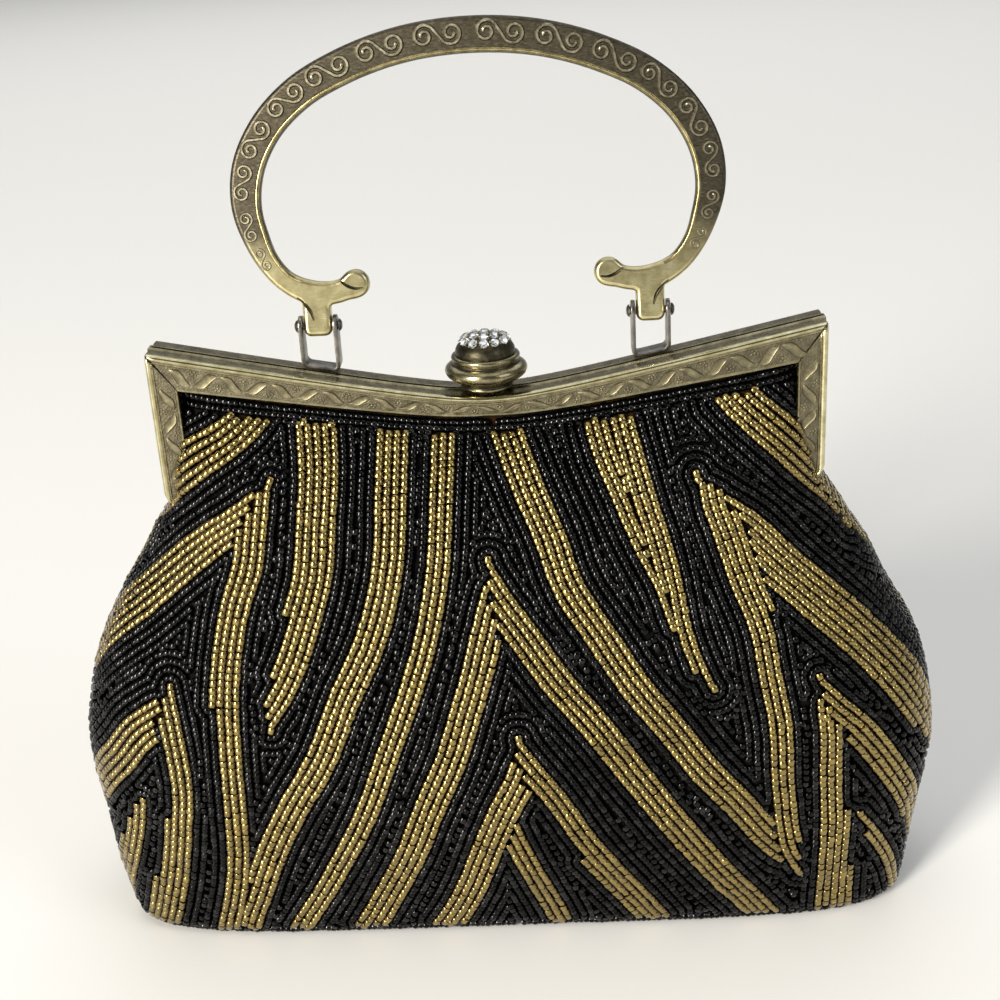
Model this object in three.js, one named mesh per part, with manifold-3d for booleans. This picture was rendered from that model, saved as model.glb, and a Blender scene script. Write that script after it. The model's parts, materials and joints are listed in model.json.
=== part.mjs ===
// A beaded evening bag on a hinged brass purse frame, standing on its base.
// Millimetres, +Z up. The front faces -Y, and the origin is the middle of the base on the floor.
import * as THREE from "three";
import { mergeVertices } from "three/addons/utils/BufferGeometryUtils.js";
import Module from "manifold-3d";

const wasm = await Module();
wasm.setup();

// Clearance between pieces that rest on each other
const SEAT_GAP = 0.3;

// Purse frame: two halves, each a top bar with a shallow dip and two side arms
const FRAME_WIDTH = 180;
const FRAME_DEPTH = 14;
const HALVES_GAP = 1.2;
const DIP_Z = 153.5;
const DIP_SLOPE = 0.212;
const DIP_ROUND = 15;
const SHEET = 1.2;
const FACE_THICKNESS = 1.6;
const FACE_ROUND = 0.6;
const BAND_AT_MIDDLE = 5.4;
const BAND_AT_CORNER = 9.2;
const ARM_WIDTH = 8;
const ARM_END_Z = 126;
const CORNER_ROUND = 2;
const DIP_STEPS = 20;

// Stamped leaves in a zigzag along the band and the arms
const LEAF = { length: 7.6, width: 3.8, rise: 0.5, sunk: 0.1, turn: 0.62, pitch: 6.85, sides: 6 };
const LEAF_LINE = 4.9;

// Hinge rivets at the ends of the arms
const RIVET = { radius: 1.8, z: 131, sides: 12 };

// Cloth pouch: one row for each level of the outside, with half sizes and the squareness of its plan
const WALL = 2.5;
const POUCH_SIDES = 40;
const POUCH_LEVELS = [
  { z: 0, halfWidth: 111, halfDepth: 31.5, square: 5 },
  { z: 2.5, halfWidth: 113.5, halfDepth: 33.3, square: 5 },
  { z: 10, halfWidth: 115.5, halfDepth: 35, square: 4.6 },
  { z: 22, halfWidth: 117.5, halfDepth: 36.8, square: 4.2 },
  { z: 37, halfWidth: 120, halfDepth: 38, square: 3.8 },
  { z: 50, halfWidth: 121.8, halfDepth: 38.2, square: 3.5 },
  { z: 62, halfWidth: 121.6, halfDepth: 37.4, square: 3.3 },
  { z: 76, halfWidth: 118.3, halfDepth: 35.6, square: 3.1 },
  { z: 90, halfWidth: 112.2, halfDepth: 33, square: 2.9 },
  { z: 104, halfWidth: 104.8, halfDepth: 29.6, square: 2.7 },
  { z: 114, halfWidth: 99, halfDepth: 26.8, square: 2.5 },
  { z: 119.5, halfWidth: 95.5, halfDepth: 25, square: 2.4 },
  { z: 123.3, halfWidth: 90.5, halfDepth: 23.6, square: 2.3 },
  { z: 125, halfWidth: 86.2, halfDepth: 22.8, square: 2.2 },
];

// Between the arms the levels rise from a flat one to the lower edge of the frame's band
const TUCK_Z = 127.4;
const TUCK_HALF_WIDTH = 83.2;
const TUCK_LEVELS = [
  { rise: 0, halfDepth: 22, square: 2.2 },
  { rise: 0.3, halfDepth: 18.8, square: 2.3 },
  { rise: 0.6, halfDepth: 14.2, square: 2.5 },
  { rise: 0.82, halfDepth: 10.2, square: 3 },
  { rise: 0.94, halfDepth: 7.2, square: 4 },
];
const TUCK_EDGE_DROP = 0.5;
const RIM_HALF_DEPTH = 5;
const RIM_SQUARE = 8;

// Strip links on the back half, and the pins through them
const LINK = { x: 44.4, y: 3.7, width: 10.4, depth: 6, strip: 1.1, sides: 6 };
const PIN_Z = 172.3;
const PIN = { radius: 1, headRadius: 1.7, headLength: 0.9, sides: 12 };
const PIN_PLAY = 0.3;

// Handle, drawn flat: x to the right and h up from the pins, with half its width at each place
const HANDLE_LEAN_DEG = 10;
const HANDLE_THICKNESS = 4.2;
const HANDLE_ROUND = 0.8;
const HANDLE_STEPS = 24;
const HANDLE_LINE = [
  { x: 0, h: 72.6, half: 4.6 },
  { x: 19.5, h: 70.6, half: 4.55 },
  { x: 33.6, h: 66.2, half: 4.5 },
  { x: 45.5, h: 60.1, half: 4.4 },
  { x: 54.6, h: 51.5, half: 4.3 },
  { x: 60, h: 41, half: 4.2 },
  { x: 60.9, h: 31, half: 3.85 },
  { x: 59.2, h: 24, half: 3.45 },
  { x: 56.6, h: 17.8, half: 2.95 },
  { x: 52.1, h: 12.2, half: 2.8 },
  { x: 45.5, h: 8.9, half: 3.2 },
  { x: 39, h: 8.7, half: 3.05 },
  { x: 35.5, h: 9.6, half: 3 },
];
const CURL = { x: 33.6, h: 10.7, radius: 3.8 };
const LUG = { width: 7.6, bottom: -2.8, top: 9, round: 2 };

// Raised S scrolls along the handle: distance from the middle and spacing of the two spirals
const SCROLLS = [
  { along: 8, spacing: 7.1 },
  { along: 23.2, spacing: 7.1 },
  { along: 37.9, spacing: 6.9 },
  { along: 50.9, spacing: 6.3 },
  { along: 63.6, spacing: 6.1 },
  { along: 75.1, spacing: 5.3 },
  { along: 86.5, spacing: 4.4 },
  { along: 95.5, spacing: 3.5 },
];
const SCROLL = { radius: 0.42, eye: 0.22, turns: 1.35, leave: 0.35, ridge: 0.1, rise: 0.6, steps: 8 };
const SCROLL_OUTWARD = 0.5;

// Clasp knob: the base's profile above the frame, the dome's profile above the base
const KNOB_SIDES = 24;
const KNOB_PROFILE = [
  { r: 0, z: 0.35 },
  { r: 3.5, z: 0.5 },
  { r: 6.4, z: 1.1 },
  { r: 7, z: 1.7 },
  { r: 6.7, z: 2.6 },
  { r: 7, z: 3.3 },
  { r: 9, z: 4.4 },
  { r: 10.6, z: 5.6 },
  { r: 11.1, z: 7 },
  { r: 10.5, z: 8 },
  { r: 9.5, z: 8.5 },
  { r: 9.2, z: 8.8 },
  { r: 9.4, z: 9.3 },
  { r: 9, z: 9.8 },
  { r: 0, z: 9.8 },
];
const DOME_PROFILE = [
  { r: 0, z: 0 },
  { r: 8, z: 0 },
  { r: 8.05, z: 0.9 },
  { r: 7.75, z: 2 },
  { r: 7, z: 3 },
  { r: 5.75, z: 3.9 },
  { r: 4.2, z: 4.55 },
  { r: 2.2, z: 5 },
  { r: 0, z: 5.2 },
];

// Cut stones on the dome: rings from the outside in, each stone a lathe of eight facets
const STONE = { girdle: 1.3, foot: 1.15, rim: 0.4, table: 0.75, height: 1, facets: 8 };
const STONE_RINGS = [
  { count: 12, r: 5.7, z: 3.93, leanDeg: 31 },
  { count: 6, r: 3, z: 4.83, leanDeg: 13 },
  { count: 1, r: 0, z: 5.2, leanDeg: 0 },
];

const COLOUR = {
  beads: { color: 0x17140f, roughness: 0.35, metalness: 0 },
  brass: { color: 0x9c8a55, roughness: 0.38, metalness: 0.9 },
  darkBrass: { color: 0x5d5138, roughness: 0.45, metalness: 0.9 },
  steel: { color: 0x85827a, roughness: 0.35, metalness: 0.9 },
  crystal: { color: 0xf2f4f6, roughness: 0.05, metalness: 0 },
};

// A geometry as a solid for joining and cutting
function solid(geometry) {
  const bare = geometry.index ? geometry.toNonIndexed() : geometry.clone();
  bare.deleteAttribute("normal");
  bare.deleteAttribute("uv");
  const merged = mergeVertices(bare, 1e-4);
  return new wasm.Manifold(
    new wasm.Mesh({
      numProp: 3,
      vertProperties: merged.attributes.position.array,
      triVerts: new Uint32Array(merged.index.array),
    }),
  );
}

function geometryOf(body) {
  const mesh = body.getMesh();
  const geometry = new THREE.BufferGeometry();
  geometry.setAttribute("position", new THREE.BufferAttribute(mesh.vertProperties, 3));
  geometry.setIndex(new THREE.BufferAttribute(mesh.triVerts, 1));
  geometry.computeVertexNormals();
  return geometry;
}

function fuse(bodies) {
  return bodies.reduce((whole, body) => whole.add(body));
}

const bag = new THREE.Group();

function addMesh(parent, name, geometry, look) {
  const mesh = new THREE.Mesh(geometry, new THREE.MeshStandardMaterial(look));
  mesh.name = name;
  parent.add(mesh);
  return mesh;
}

// A flat drawing in X and Z, thickened from one Y to the other, with rounded edges where asked
function plateFrom(shape, nearY, farY, round = 0) {
  const thickness = farY - nearY;
  const geometry = new THREE.ExtrudeGeometry(shape, {
    depth: thickness - 2 * round,
    steps: 1,
    curveSegments: 6,
    bevelEnabled: round > 0,
    bevelThickness: round,
    bevelSize: round,
    bevelOffset: -round,
    bevelSegments: 1,
  });
  geometry.rotateX(Math.PI / 2);
  geometry.translate(0, farY - round, 0);
  return geometry;
}

// A profile of r and z turned about the Z axis
function turned(profile, sides) {
  const points = profile.map(({ r, z }) => new THREE.Vector2(r, z));
  const geometry = new THREE.LatheGeometry(points, sides);
  geometry.rotateX(Math.PI / 2);
  return geometry;
}

// Height of the frame's top edge and of its band's lower edge at a given x
const halfWidth = FRAME_WIDTH / 2;
const armInner = halfWidth - ARM_WIDTH;

function frameTop(x) {
  return DIP_Z + DIP_SLOPE * (Math.hypot(x, DIP_ROUND) - DIP_ROUND);
}

function frameLow(x) {
  const band = BAND_AT_MIDDLE + ((BAND_AT_CORNER - BAND_AT_MIDDLE) * Math.abs(x)) / armInner;
  return frameTop(x) - band;
}

// Points along a dip curve from one x to another
function dipPoints(height, fromX, toX) {
  return Array.from({ length: DIP_STEPS + 1 }, (_, i) => {
    const x = fromX + ((toX - fromX) * i) / DIP_STEPS;
    return new THREE.Vector2(x, height(x));
  });
}

// Front outline of a half: outside over the dip, round the arm ends, back under the band
function faceOutline() {
  const cornerZ = frameTop(halfWidth);
  const armMiddle = halfWidth - ARM_WIDTH / 2;
  const armRound = ARM_WIDTH / 2;
  const armZ = ARM_END_Z + armRound;
  const inset = halfWidth - CORNER_ROUND;
  const shape = new THREE.Shape();
  shape.moveTo(-halfWidth, armZ);
  shape.lineTo(-halfWidth, cornerZ - CORNER_ROUND);
  shape.quadraticCurveTo(-halfWidth, cornerZ, -inset, frameTop(inset));
  dipPoints(frameTop, -inset, inset).slice(1).forEach((p) => shape.lineTo(p.x, p.y));
  shape.quadraticCurveTo(halfWidth, cornerZ, halfWidth, cornerZ - CORNER_ROUND);
  shape.lineTo(halfWidth, armZ);
  shape.absarc(armMiddle, armZ, armRound, 0, -Math.PI, true);
  dipPoints(frameLow, armInner, -armInner).forEach((p) => shape.lineTo(p.x, p.y));
  shape.lineTo(-armInner, armZ);
  shape.absarc(-armMiddle, armZ, armRound, 0, -Math.PI, true);
  return shape;
}

// Sheet of one thickness along the outside of the outline: top plate and side plates
function returnOutline() {
  const cornerZ = frameTop(halfWidth);
  const armZ = ARM_END_Z + ARM_WIDTH / 2;
  const outer = halfWidth - CORNER_ROUND;
  const inner = halfWidth - SHEET;
  const underTop = (x) => frameTop(x) - SHEET;
  const shape = new THREE.Shape();
  shape.moveTo(-halfWidth, armZ);
  shape.lineTo(-halfWidth, cornerZ - CORNER_ROUND);
  shape.quadraticCurveTo(-halfWidth, cornerZ, -outer, frameTop(outer));
  dipPoints(frameTop, -outer, outer).slice(1).forEach((p) => shape.lineTo(p.x, p.y));
  shape.quadraticCurveTo(halfWidth, cornerZ, halfWidth, cornerZ - CORNER_ROUND);
  shape.lineTo(halfWidth, armZ);
  shape.lineTo(inner, armZ);
  dipPoints(underTop, inner, -inner).forEach((p) => shape.lineTo(p.x, p.y));
  shape.lineTo(-inner, armZ);
  return shape;
}

// One stamped leaf, a low pointed pyramid on the face, turned one way or the other
function leafAt(x, z, angle, faceY) {
  const geometry = new THREE.ConeGeometry(1, LEAF.rise + LEAF.sunk, LEAF.sides);
  geometry.rotateY(Math.PI / 2);
  geometry.rotateX(Math.PI);
  geometry.scale(LEAF.length / 2, 1, LEAF.width / 2);
  geometry.rotateY(-angle);
  geometry.translate(x, faceY + (LEAF.sunk - LEAF.rise) / 2, z);
  return solid(geometry);
}

// Zigzag of leaves along the top band, then down both arms
function leaves(faceY) {
  const list = [];
  const across = Math.floor((2 * armInner) / LEAF.pitch);
  for (let i = 0; i < across; i += 1) {
    const x = (i + 0.5 - across / 2) * LEAF.pitch;
    const slope = Math.atan2(frameTop(x + 1) - frameTop(x - 1), 2);
    const turn = i % 2 ? LEAF.turn : -LEAF.turn;
    list.push(leafAt(x, frameTop(x) - LEAF_LINE, slope + turn, faceY));
  }
  const armTop = frameLow(armInner);
  const down = Math.floor((armTop - ARM_END_Z) / LEAF.pitch);
  for (let i = 0; i < down; i += 1) {
    const z = armTop - (i + 0.5) * LEAF.pitch;
    const turn = Math.PI / 2 + (i % 2 ? LEAF.turn : -LEAF.turn);
    const x = halfWidth - ARM_WIDTH / 2;
    list.push(leafAt(x, z, turn, faceY), leafAt(-x, z, Math.PI - turn, faceY));
  }
  return fuse(list);
}

function frameHalf() {
  const frontY = -FRAME_DEPTH / 2;
  const faceBack = frontY + FACE_THICKNESS;
  const outline = faceOutline();
  const face = solid(plateFrom(outline, frontY, faceBack, FACE_ROUND));
  const returns = solid(plateFrom(returnOutline(), frontY + FACE_THICKNESS / 2, -HALVES_GAP / 2));
  const bounds = solid(plateFrom(outline, frontY - 2 * LEAF.rise, faceBack));
  return geometryOf(fuse([face, returns, leaves(frontY).intersect(bounds)]));
}

// One ring of the pouch, a rounded oblong, pulled in by the wall for the inside
function pouchRing(level, inset) {
  return Array.from({ length: POUCH_SIDES }, (_, i) => {
    const angle = (2 * Math.PI * (i + 0.5)) / POUCH_SIDES;
    const across = Math.cos(angle);
    const depth = (1 - Math.abs(across) ** level.square) ** (1 / level.square);
    const x = (level.halfWidth - inset) * across;
    const y = (level.halfDepth - inset) * depth * Math.sign(Math.sin(angle));
    return new THREE.Vector3(x, y, level.height(x));
  });
}

function pouchLevels() {
  const low = POUCH_LEVELS.map((row) => ({ ...row, height: () => row.z }));
  const tucked = TUCK_LEVELS.map((row) => ({
    ...row,
    halfWidth: TUCK_HALF_WIDTH,
    height: (x) => TUCK_Z + (frameLow(x) - TUCK_EDGE_DROP - TUCK_Z) * row.rise,
  }));
  const rim = { halfWidth: TUCK_HALF_WIDTH, halfDepth: RIM_HALF_DEPTH, square: RIM_SQUARE };
  const edge = { ...rim, height: (x) => frameLow(x) - TUCK_EDGE_DROP };
  const top = { ...rim, height: (x) => frameTop(x) - SHEET - 2 * SEAT_GAP };
  return [...low, ...tucked, edge, top];
}

// The pouch: outside from the base up to the rim, then inside down to its floor
function pouchGeometry() {
  const levels = pouchLevels();
  const floor = { ...levels[1], height: () => WALL };
  const rimStart = levels.length - 3;
  const lining = levels.slice(2).filter((_, i) => i % 2 || i + 2 >= rimStart);
  const inside = [floor, ...lining].reverse();
  const outerRings = levels.map((row) => pouchRing(row, 0));
  const innerRings = inside.map((row) => pouchRing(row, WALL));
  const rings = [...outerRings, ...innerRings];
  const points = rings.flat();
  const index = [];
  for (let ring = 0; ring + 1 < rings.length; ring += 1) {
    for (let i = 0; i < POUCH_SIDES; i += 1) {
      const next = (i + 1) % POUCH_SIDES;
      const a = ring * POUCH_SIDES + i;
      const b = ring * POUCH_SIDES + next;
      index.push(a, b, b + POUCH_SIDES, a, b + POUCH_SIDES, a + POUCH_SIDES);
    }
  }
  const closeWith = (ring, z, flip) => {
    const middle = points.push(new THREE.Vector3(0, 0, z)) - 1;
    for (let i = 0; i < POUCH_SIDES; i += 1) {
      const a = ring * POUCH_SIDES + i;
      const b = ring * POUCH_SIDES + ((i + 1) % POUCH_SIDES);
      index.push(...(flip ? [middle, b, a] : [middle, a, b]));
    }
  };
  closeWith(0, 0, true);
  closeWith(rings.length - 1, WALL, false);
  const geometry = new THREE.BufferGeometry().setFromPoints(points);
  geometry.setIndex(index);
  geometry.computeVertexNormals();
  return geometry;
}

// A strip link: a sloping foot on the frame and two upright arms with a pin hole
function linkGeometry(side) {
  const x = side * LINK.x;
  const slope = Math.atan2(frameTop(x + 1) - frameTop(x - 1), 2);
  const footZ = frameTop(x) + SEAT_GAP + LINK.strip / 2;
  const foot = new THREE.BoxGeometry(LINK.width / Math.cos(slope), LINK.depth, LINK.strip);
  foot.rotateY(-slope);
  foot.translate(0, 0, footZ);
  const reach = LINK.width / 2 - LINK.strip / 2;
  const half = LINK.depth / 2;
  const arms = [-1, 1].map((edge) => {
    const armFoot = footZ + edge * reach * Math.tan(slope);
    const outline = new THREE.Shape();
    outline.moveTo(-half, armFoot);
    outline.lineTo(half, armFoot);
    outline.absarc(0, PIN_Z, half, 0, Math.PI, false);
    const hole = new THREE.Path();
    hole.absarc(0, PIN_Z, PIN.radius + PIN_PLAY, 0, 2 * Math.PI, true);
    outline.holes.push(hole);
    const arm = new THREE.ExtrudeGeometry(outline, {
      depth: LINK.strip,
      curveSegments: LINK.sides,
      bevelEnabled: false,
    });
    arm.translate(0, 0, -LINK.strip / 2);
    arm.rotateX(Math.PI / 2);
    arm.rotateZ(Math.PI / 2);
    arm.translate(edge * reach, 0, 0);
    return solid(arm);
  });
  return geometryOf(fuse([solid(foot), ...arms]));
}

// A pin along X with a head at each end, outside the link's arms
function pinGeometry() {
  const shoulder = LINK.width / 2 + SEAT_GAP;
  const end = shoulder + PIN.headLength;
  const geometry = turned(
    [
      { r: 0, z: -end },
      { r: PIN.headRadius, z: -end },
      { r: PIN.headRadius, z: -shoulder },
      { r: PIN.radius, z: -shoulder },
      { r: PIN.radius, z: shoulder },
      { r: PIN.headRadius, z: shoulder },
      { r: PIN.headRadius, z: end },
      { r: 0, z: end },
    ],
    PIN.sides,
  );
  geometry.rotateY(Math.PI / 2);
  return geometry;
}

// The handle's middle line from the left curl to the right one, with its half width as a third value
function handleLine() {
  const right = HANDLE_LINE.map(({ x, h, half }) => new THREE.Vector3(x, h, half));
  const left = right.slice(1).reverse().map((p) => new THREE.Vector3(-p.x, p.y, p.z));
  return new THREE.CatmullRomCurve3([...left, ...right], false, "centripetal");
}

// A place on the middle line with its direction and the outward normal
function placeOn(line, u) {
  const point = line.getPointAt(u);
  const slope = line.getTangentAt(u);
  const at = new THREE.Vector2(point.x, point.y);
  const tangent = new THREE.Vector2(slope.x, slope.y).normalize();
  const outward = new THREE.Vector2(-tangent.y, tangent.x);
  return { at, half: point.z, tangent, outward };
}

function handleOutline(line) {
  const steps = 2 * HANDLE_STEPS;
  const places = Array.from({ length: steps + 1 }, (_, i) => placeOn(line, i / steps));
  const outer = places.map((p) => p.at.clone().addScaledVector(p.outward, p.half));
  const inner = places.map((p) => p.at.clone().addScaledVector(p.outward, -p.half)).reverse();
  return new THREE.Shape([...outer, ...inner]);
}

// Outline of an S scroll lying along the X axis: over the left spiral, under the right one
function scrollOutline(spacing) {
  const radius = SCROLL.radius * spacing;
  const left = Array.from({ length: SCROLL.steps }, (_, i) => {
    const u = i / (SCROLL.steps - 1);
    const r = radius * (SCROLL.eye + (1 - SCROLL.eye) * u);
    const angle = SCROLL.leave + 2 * Math.PI * SCROLL.turns * (1 - u);
    return new THREE.Vector2(-spacing / 2 + r * Math.cos(angle), r * Math.sin(angle));
  });
  const path = [...left, ...left.map((p) => p.clone().negate()).reverse()];
  const half = (SCROLL.ridge * spacing) / 2;
  const sides = path.map((p, i) => {
    const before = path[Math.max(i - 1, 0)];
    const after = path[Math.min(i + 1, path.length - 1)];
    const along = after.clone().sub(before).normalize();
    return new THREE.Vector2(-along.y, along.x).multiplyScalar(half);
  });
  const upper = path.map((p, i) => p.clone().add(sides[i]));
  const lower = path.map((p, i) => p.clone().sub(sides[i])).reverse();
  return new THREE.Shape([...upper, ...lower]);
}

function scrollSolids(line, frontY) {
  const total = line.getLength();
  const list = [];
  for (const { along, spacing } of SCROLLS) {
    for (const side of [-1, 1]) {
      const { at, tangent, outward } = placeOn(line, 0.5 + (side * along) / total);
      const ridge = plateFrom(scrollOutline(spacing), frontY - SCROLL.rise, frontY + HANDLE_ROUND);
      const centre = at.clone().addScaledVector(outward, SCROLL_OUTWARD);
      ridge.rotateY(-Math.atan2(tangent.y, tangent.x));
      ridge.translate(centre.x, 0, centre.y);
      list.push(solid(ridge));
    }
  }
  return list;
}

function lugOutline(side) {
  const left = side * LINK.x - LUG.width / 2;
  const right = left + LUG.width;
  const shape = new THREE.Shape();
  shape.moveTo(left, LUG.top);
  shape.lineTo(left, LUG.bottom + LUG.round);
  shape.quadraticCurveTo(left, LUG.bottom, left + LUG.round, LUG.bottom);
  shape.lineTo(right - LUG.round, LUG.bottom);
  shape.quadraticCurveTo(right, LUG.bottom, right, LUG.bottom + LUG.round);
  shape.lineTo(right, LUG.top);
  return shape;
}

// The cast handle in its own upright plane, with the pins' axis as the X axis
function handleGeometry() {
  const frontY = -HANDLE_THICKNESS / 2;
  const backY = HANDLE_THICKNESS / 2;
  const line = handleLine();
  const band = solid(plateFrom(handleOutline(line), frontY, backY, HANDLE_ROUND));
  const bodies = [band, ...scrollSolids(line, frontY)];
  for (const side of [-1, 1]) {
    const curl = new THREE.Shape().absarc(side * CURL.x, CURL.h, CURL.radius, 0, 2 * Math.PI);
    bodies.push(solid(plateFrom(curl, frontY, backY, HANDLE_ROUND)));
    bodies.push(solid(plateFrom(lugOutline(side), frontY, backY, HANDLE_ROUND)));
  }
  const boreRadius = PIN.radius + PIN_PLAY;
  const bore = new THREE.CylinderGeometry(boreRadius, boreRadius, FRAME_WIDTH, PIN.sides);
  bore.rotateZ(Math.PI / 2);
  return geometryOf(fuse(bodies).subtract(solid(bore)));
}

// Pieces in their places
addMesh(bag, "bag_body", pouchGeometry(), COLOUR.beads);

addMesh(bag, "frame_front", frameHalf(), COLOUR.brass);
addMesh(bag, "frame_back", frameHalf(), COLOUR.brass).rotation.z = Math.PI;

const sides = [
  { word: "left", sign: -1 },
  { word: "right", sign: 1 },
];
for (const { word, sign } of sides) {
  const rivetLength = FRAME_DEPTH - 2 * (FACE_THICKNESS + SEAT_GAP);
  const rivet = new THREE.CylinderGeometry(RIVET.radius, RIVET.radius, rivetLength, RIVET.sides);
  addMesh(bag, `hinge_rivet_${word}`, rivet, COLOUR.darkBrass).position.set(
    sign * (halfWidth - ARM_WIDTH / 2),
    0,
    RIVET.z,
  );
  addMesh(bag, `link_${word}`, linkGeometry(sign), COLOUR.steel).position.set(sign * LINK.x, LINK.y, 0);
  addMesh(bag, `pin_${word}`, pinGeometry(), COLOUR.steel).position.set(sign * LINK.x, LINK.y, PIN_Z);
}

const handleHinge = new THREE.Group();
handleHinge.position.set(0, LINK.y, PIN_Z);
handleHinge.rotation.x = THREE.MathUtils.degToRad(-HANDLE_LEAN_DEG);
addMesh(handleHinge, "handle", handleGeometry(), COLOUR.brass);
bag.add(handleHinge);

const knob = new THREE.Group();
knob.position.z = DIP_Z;
addMesh(knob, "knob_base", turned(KNOB_PROFILE, KNOB_SIDES), COLOUR.brass);
const dome = new THREE.Group();
dome.position.z = KNOB_PROFILE.at(-1).z + SEAT_GAP;
addMesh(dome, "knob_dome", turned(DOME_PROFILE, KNOB_SIDES), COLOUR.darkBrass);
knob.add(dome);
bag.add(knob);

const stoneProfile = [
  { r: 0, z: 0 },
  { r: STONE.foot, z: 0 },
  { r: STONE.girdle, z: STONE.rim },
  { r: STONE.table, z: STONE.height },
  { r: 0, z: STONE.height },
];
let stoneNumber = 0;
for (const ring of STONE_RINGS) {
  for (let i = 0; i < ring.count; i += 1) {
    stoneNumber += 1;
    const turn = new THREE.Group();
    turn.rotation.z = (2 * Math.PI * i) / ring.count - Math.PI / 2;
    const name = `stone_${String(stoneNumber).padStart(2, "0")}`;
    const lean = THREE.MathUtils.degToRad(ring.leanDeg);
    const stone = addMesh(turn, name, turned(stoneProfile, STONE.facets), COLOUR.crystal);
    stone.position.set(ring.r + SEAT_GAP * Math.sin(lean), 0, ring.z + SEAT_GAP * Math.cos(lean));
    stone.rotation.y = lean;
    dome.add(turn);
  }
}

export default bag;
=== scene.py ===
import json
import math

import bpy
import numpy as np
from mathutils import Matrix, Vector
from mathutils.kdtree import KDTree


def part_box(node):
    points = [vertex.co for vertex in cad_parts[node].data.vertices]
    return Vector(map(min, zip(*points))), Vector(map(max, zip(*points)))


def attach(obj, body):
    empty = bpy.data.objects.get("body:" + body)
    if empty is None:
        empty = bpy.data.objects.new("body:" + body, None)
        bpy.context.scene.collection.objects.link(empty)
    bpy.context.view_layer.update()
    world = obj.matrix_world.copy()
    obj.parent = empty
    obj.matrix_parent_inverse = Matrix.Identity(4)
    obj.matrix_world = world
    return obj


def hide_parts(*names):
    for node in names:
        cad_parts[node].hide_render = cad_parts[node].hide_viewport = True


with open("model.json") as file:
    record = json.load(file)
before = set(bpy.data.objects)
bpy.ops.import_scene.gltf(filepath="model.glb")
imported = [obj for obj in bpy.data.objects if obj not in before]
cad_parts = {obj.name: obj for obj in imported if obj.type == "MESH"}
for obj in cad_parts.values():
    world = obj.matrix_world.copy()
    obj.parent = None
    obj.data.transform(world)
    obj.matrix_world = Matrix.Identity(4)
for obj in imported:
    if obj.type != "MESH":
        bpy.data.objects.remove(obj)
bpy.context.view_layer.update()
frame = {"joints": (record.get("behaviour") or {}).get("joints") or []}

# Sizes are in millimetres until a mesh is made, unless a comment says otherwise.
MM = 0.001
FAR = 1e9
SIXTHS = np.radians(np.arange(0, 360, 60))
EIGHTHS = np.radians(np.arange(0, 360, 45))
random = np.random.default_rng(7)

JOINTS = {joint["name"]: joint for joint in frame["joints"]}
PIN_Y = JOINTS["handle_swing"]["pos_m"][1] / MM
PIN_Z = JOINTS["handle_swing"]["pos_m"][2] / MM
DIP_Z = JOINTS["clasp_tilt"]["pos_m"][2] / MM

# Materials: spacing of the cloth's threads and the frame's stipple, heights over the pins between which the
# handle's worn brass turns to patina, and the grain of bare metal, drawn coarser than real to show at all
THREAD_SPACING = 0.4
STIPPLE_SPACING = 0.55
RUBBED_BELOW = 8
PATINA_ABOVE = 25
METAL_GRAIN = 0.3
METAL_RELIEF = 0.02

# Purse frame: two halves with a dip in the middle and an arm at each end
DIP_SLOPE = 0.212
DIP_ROUND = 15.0
FRAME_HALF = 90.0
ARM_INNER = 82.0
ARM_WIDTH = FRAME_HALF - ARM_INNER
ARM_END_Z = 130.0
ARM_END_RADIUS = 4.0
BAND_MIDDLE = 5.4
BAND_GAIN = 3.8
BAND_SEAT = 0.5

# Section of a frame half: from the outer or inner edge of its face, distance from that edge, depth from the
# middle. What lies deeper than FACE_DEPTH sinks in at the mitre line.
FRAME_SECTION = (
    ("outer", -0.25, 0.6), ("outer", -0.3, 0.9), ("outer", -0.25, 1.3), ("outer", 0.05, 1.6),
    ("outer", 0, 5.4), ("outer", 0.05, 6.3), ("outer", 0.3, 6.85), ("outer", 0.75, 7.1),
    ("outer", 1.15, 7.05), ("outer", 1.4, 6.85), ("outer", 1.65, 6.85), ("outer", 1.85, 7.05),
    ("outer", 2.1, 7.05), ("outer", 2.3, 6.8), ("inner", 0.95, 6.8), ("inner", 0.75, 7),
    ("inner", 0.3, 7), ("inner", 0.05, 6.7), ("inner", 0, 6.2), ("inner", 0.1, 5.5),
    ("inner", 0.4, 5.4), ("outer", 1.2, 5.4), ("outer", 1.2, 0.6),
)
FIELD_START = (2.3, 6.8)
FACE_DEPTH = 6.5
MITRE_DEPTH = 0.22
# Strips of the section, by number, that are darkened as painted shade in the mitre and that are lightened as
# a painted highlight, with a smoother polish, along the edge
MITRE_SHADE_STRIPS = range(6, 18)
EDGE_HIGHLIGHT_STRIPS = range(5, 9)

# Stations along a frame half: even ones on the bar, three at the corner, even ones on the arm, and turns in
# degrees round the arm's end. A corner row is the way in and down from the outer corner, the way in and down
# from the inner corner, the face's width and the recess of the mitre line.
CORNER_START = 2.4
BAR_STATIONS = 46
CORNER_STATIONS = (
    (0.6, 0.13, 0.16, 0, BAND_MIDDLE + BAND_GAIN, 0),
    (0.35, 0.3, 0, 0, 8.6, MITRE_DEPTH),
    (0.15, 0.65, 0, 0.16, ARM_WIDTH, 0),
)
ARM_FIRST_SHARE = 0.06
ARM_STATIONS = 20
ARM_END_TURNS = (12, 84, 7)

# Leaves and dot flowers on the face: the field's distances from the face's edges, and the width of the field
# under which the pattern is squashed
FIELD_OUTER = 2.4
FIELD_INNER = 1.0
LEAF_ROOM = 5.8
LEAF_PITCH = 6.85
LEAF_LENGTH = 7.3
LEAF_WIDTH = 2.8
LEAF_TURN = 0.6
LEAF_SWAY = 0.42
LEAF_STATIONS = 13
LEAF_TAPER = 2.4
LEAF_BELLY = 0.85
LEAF_TIP = 0.05
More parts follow.
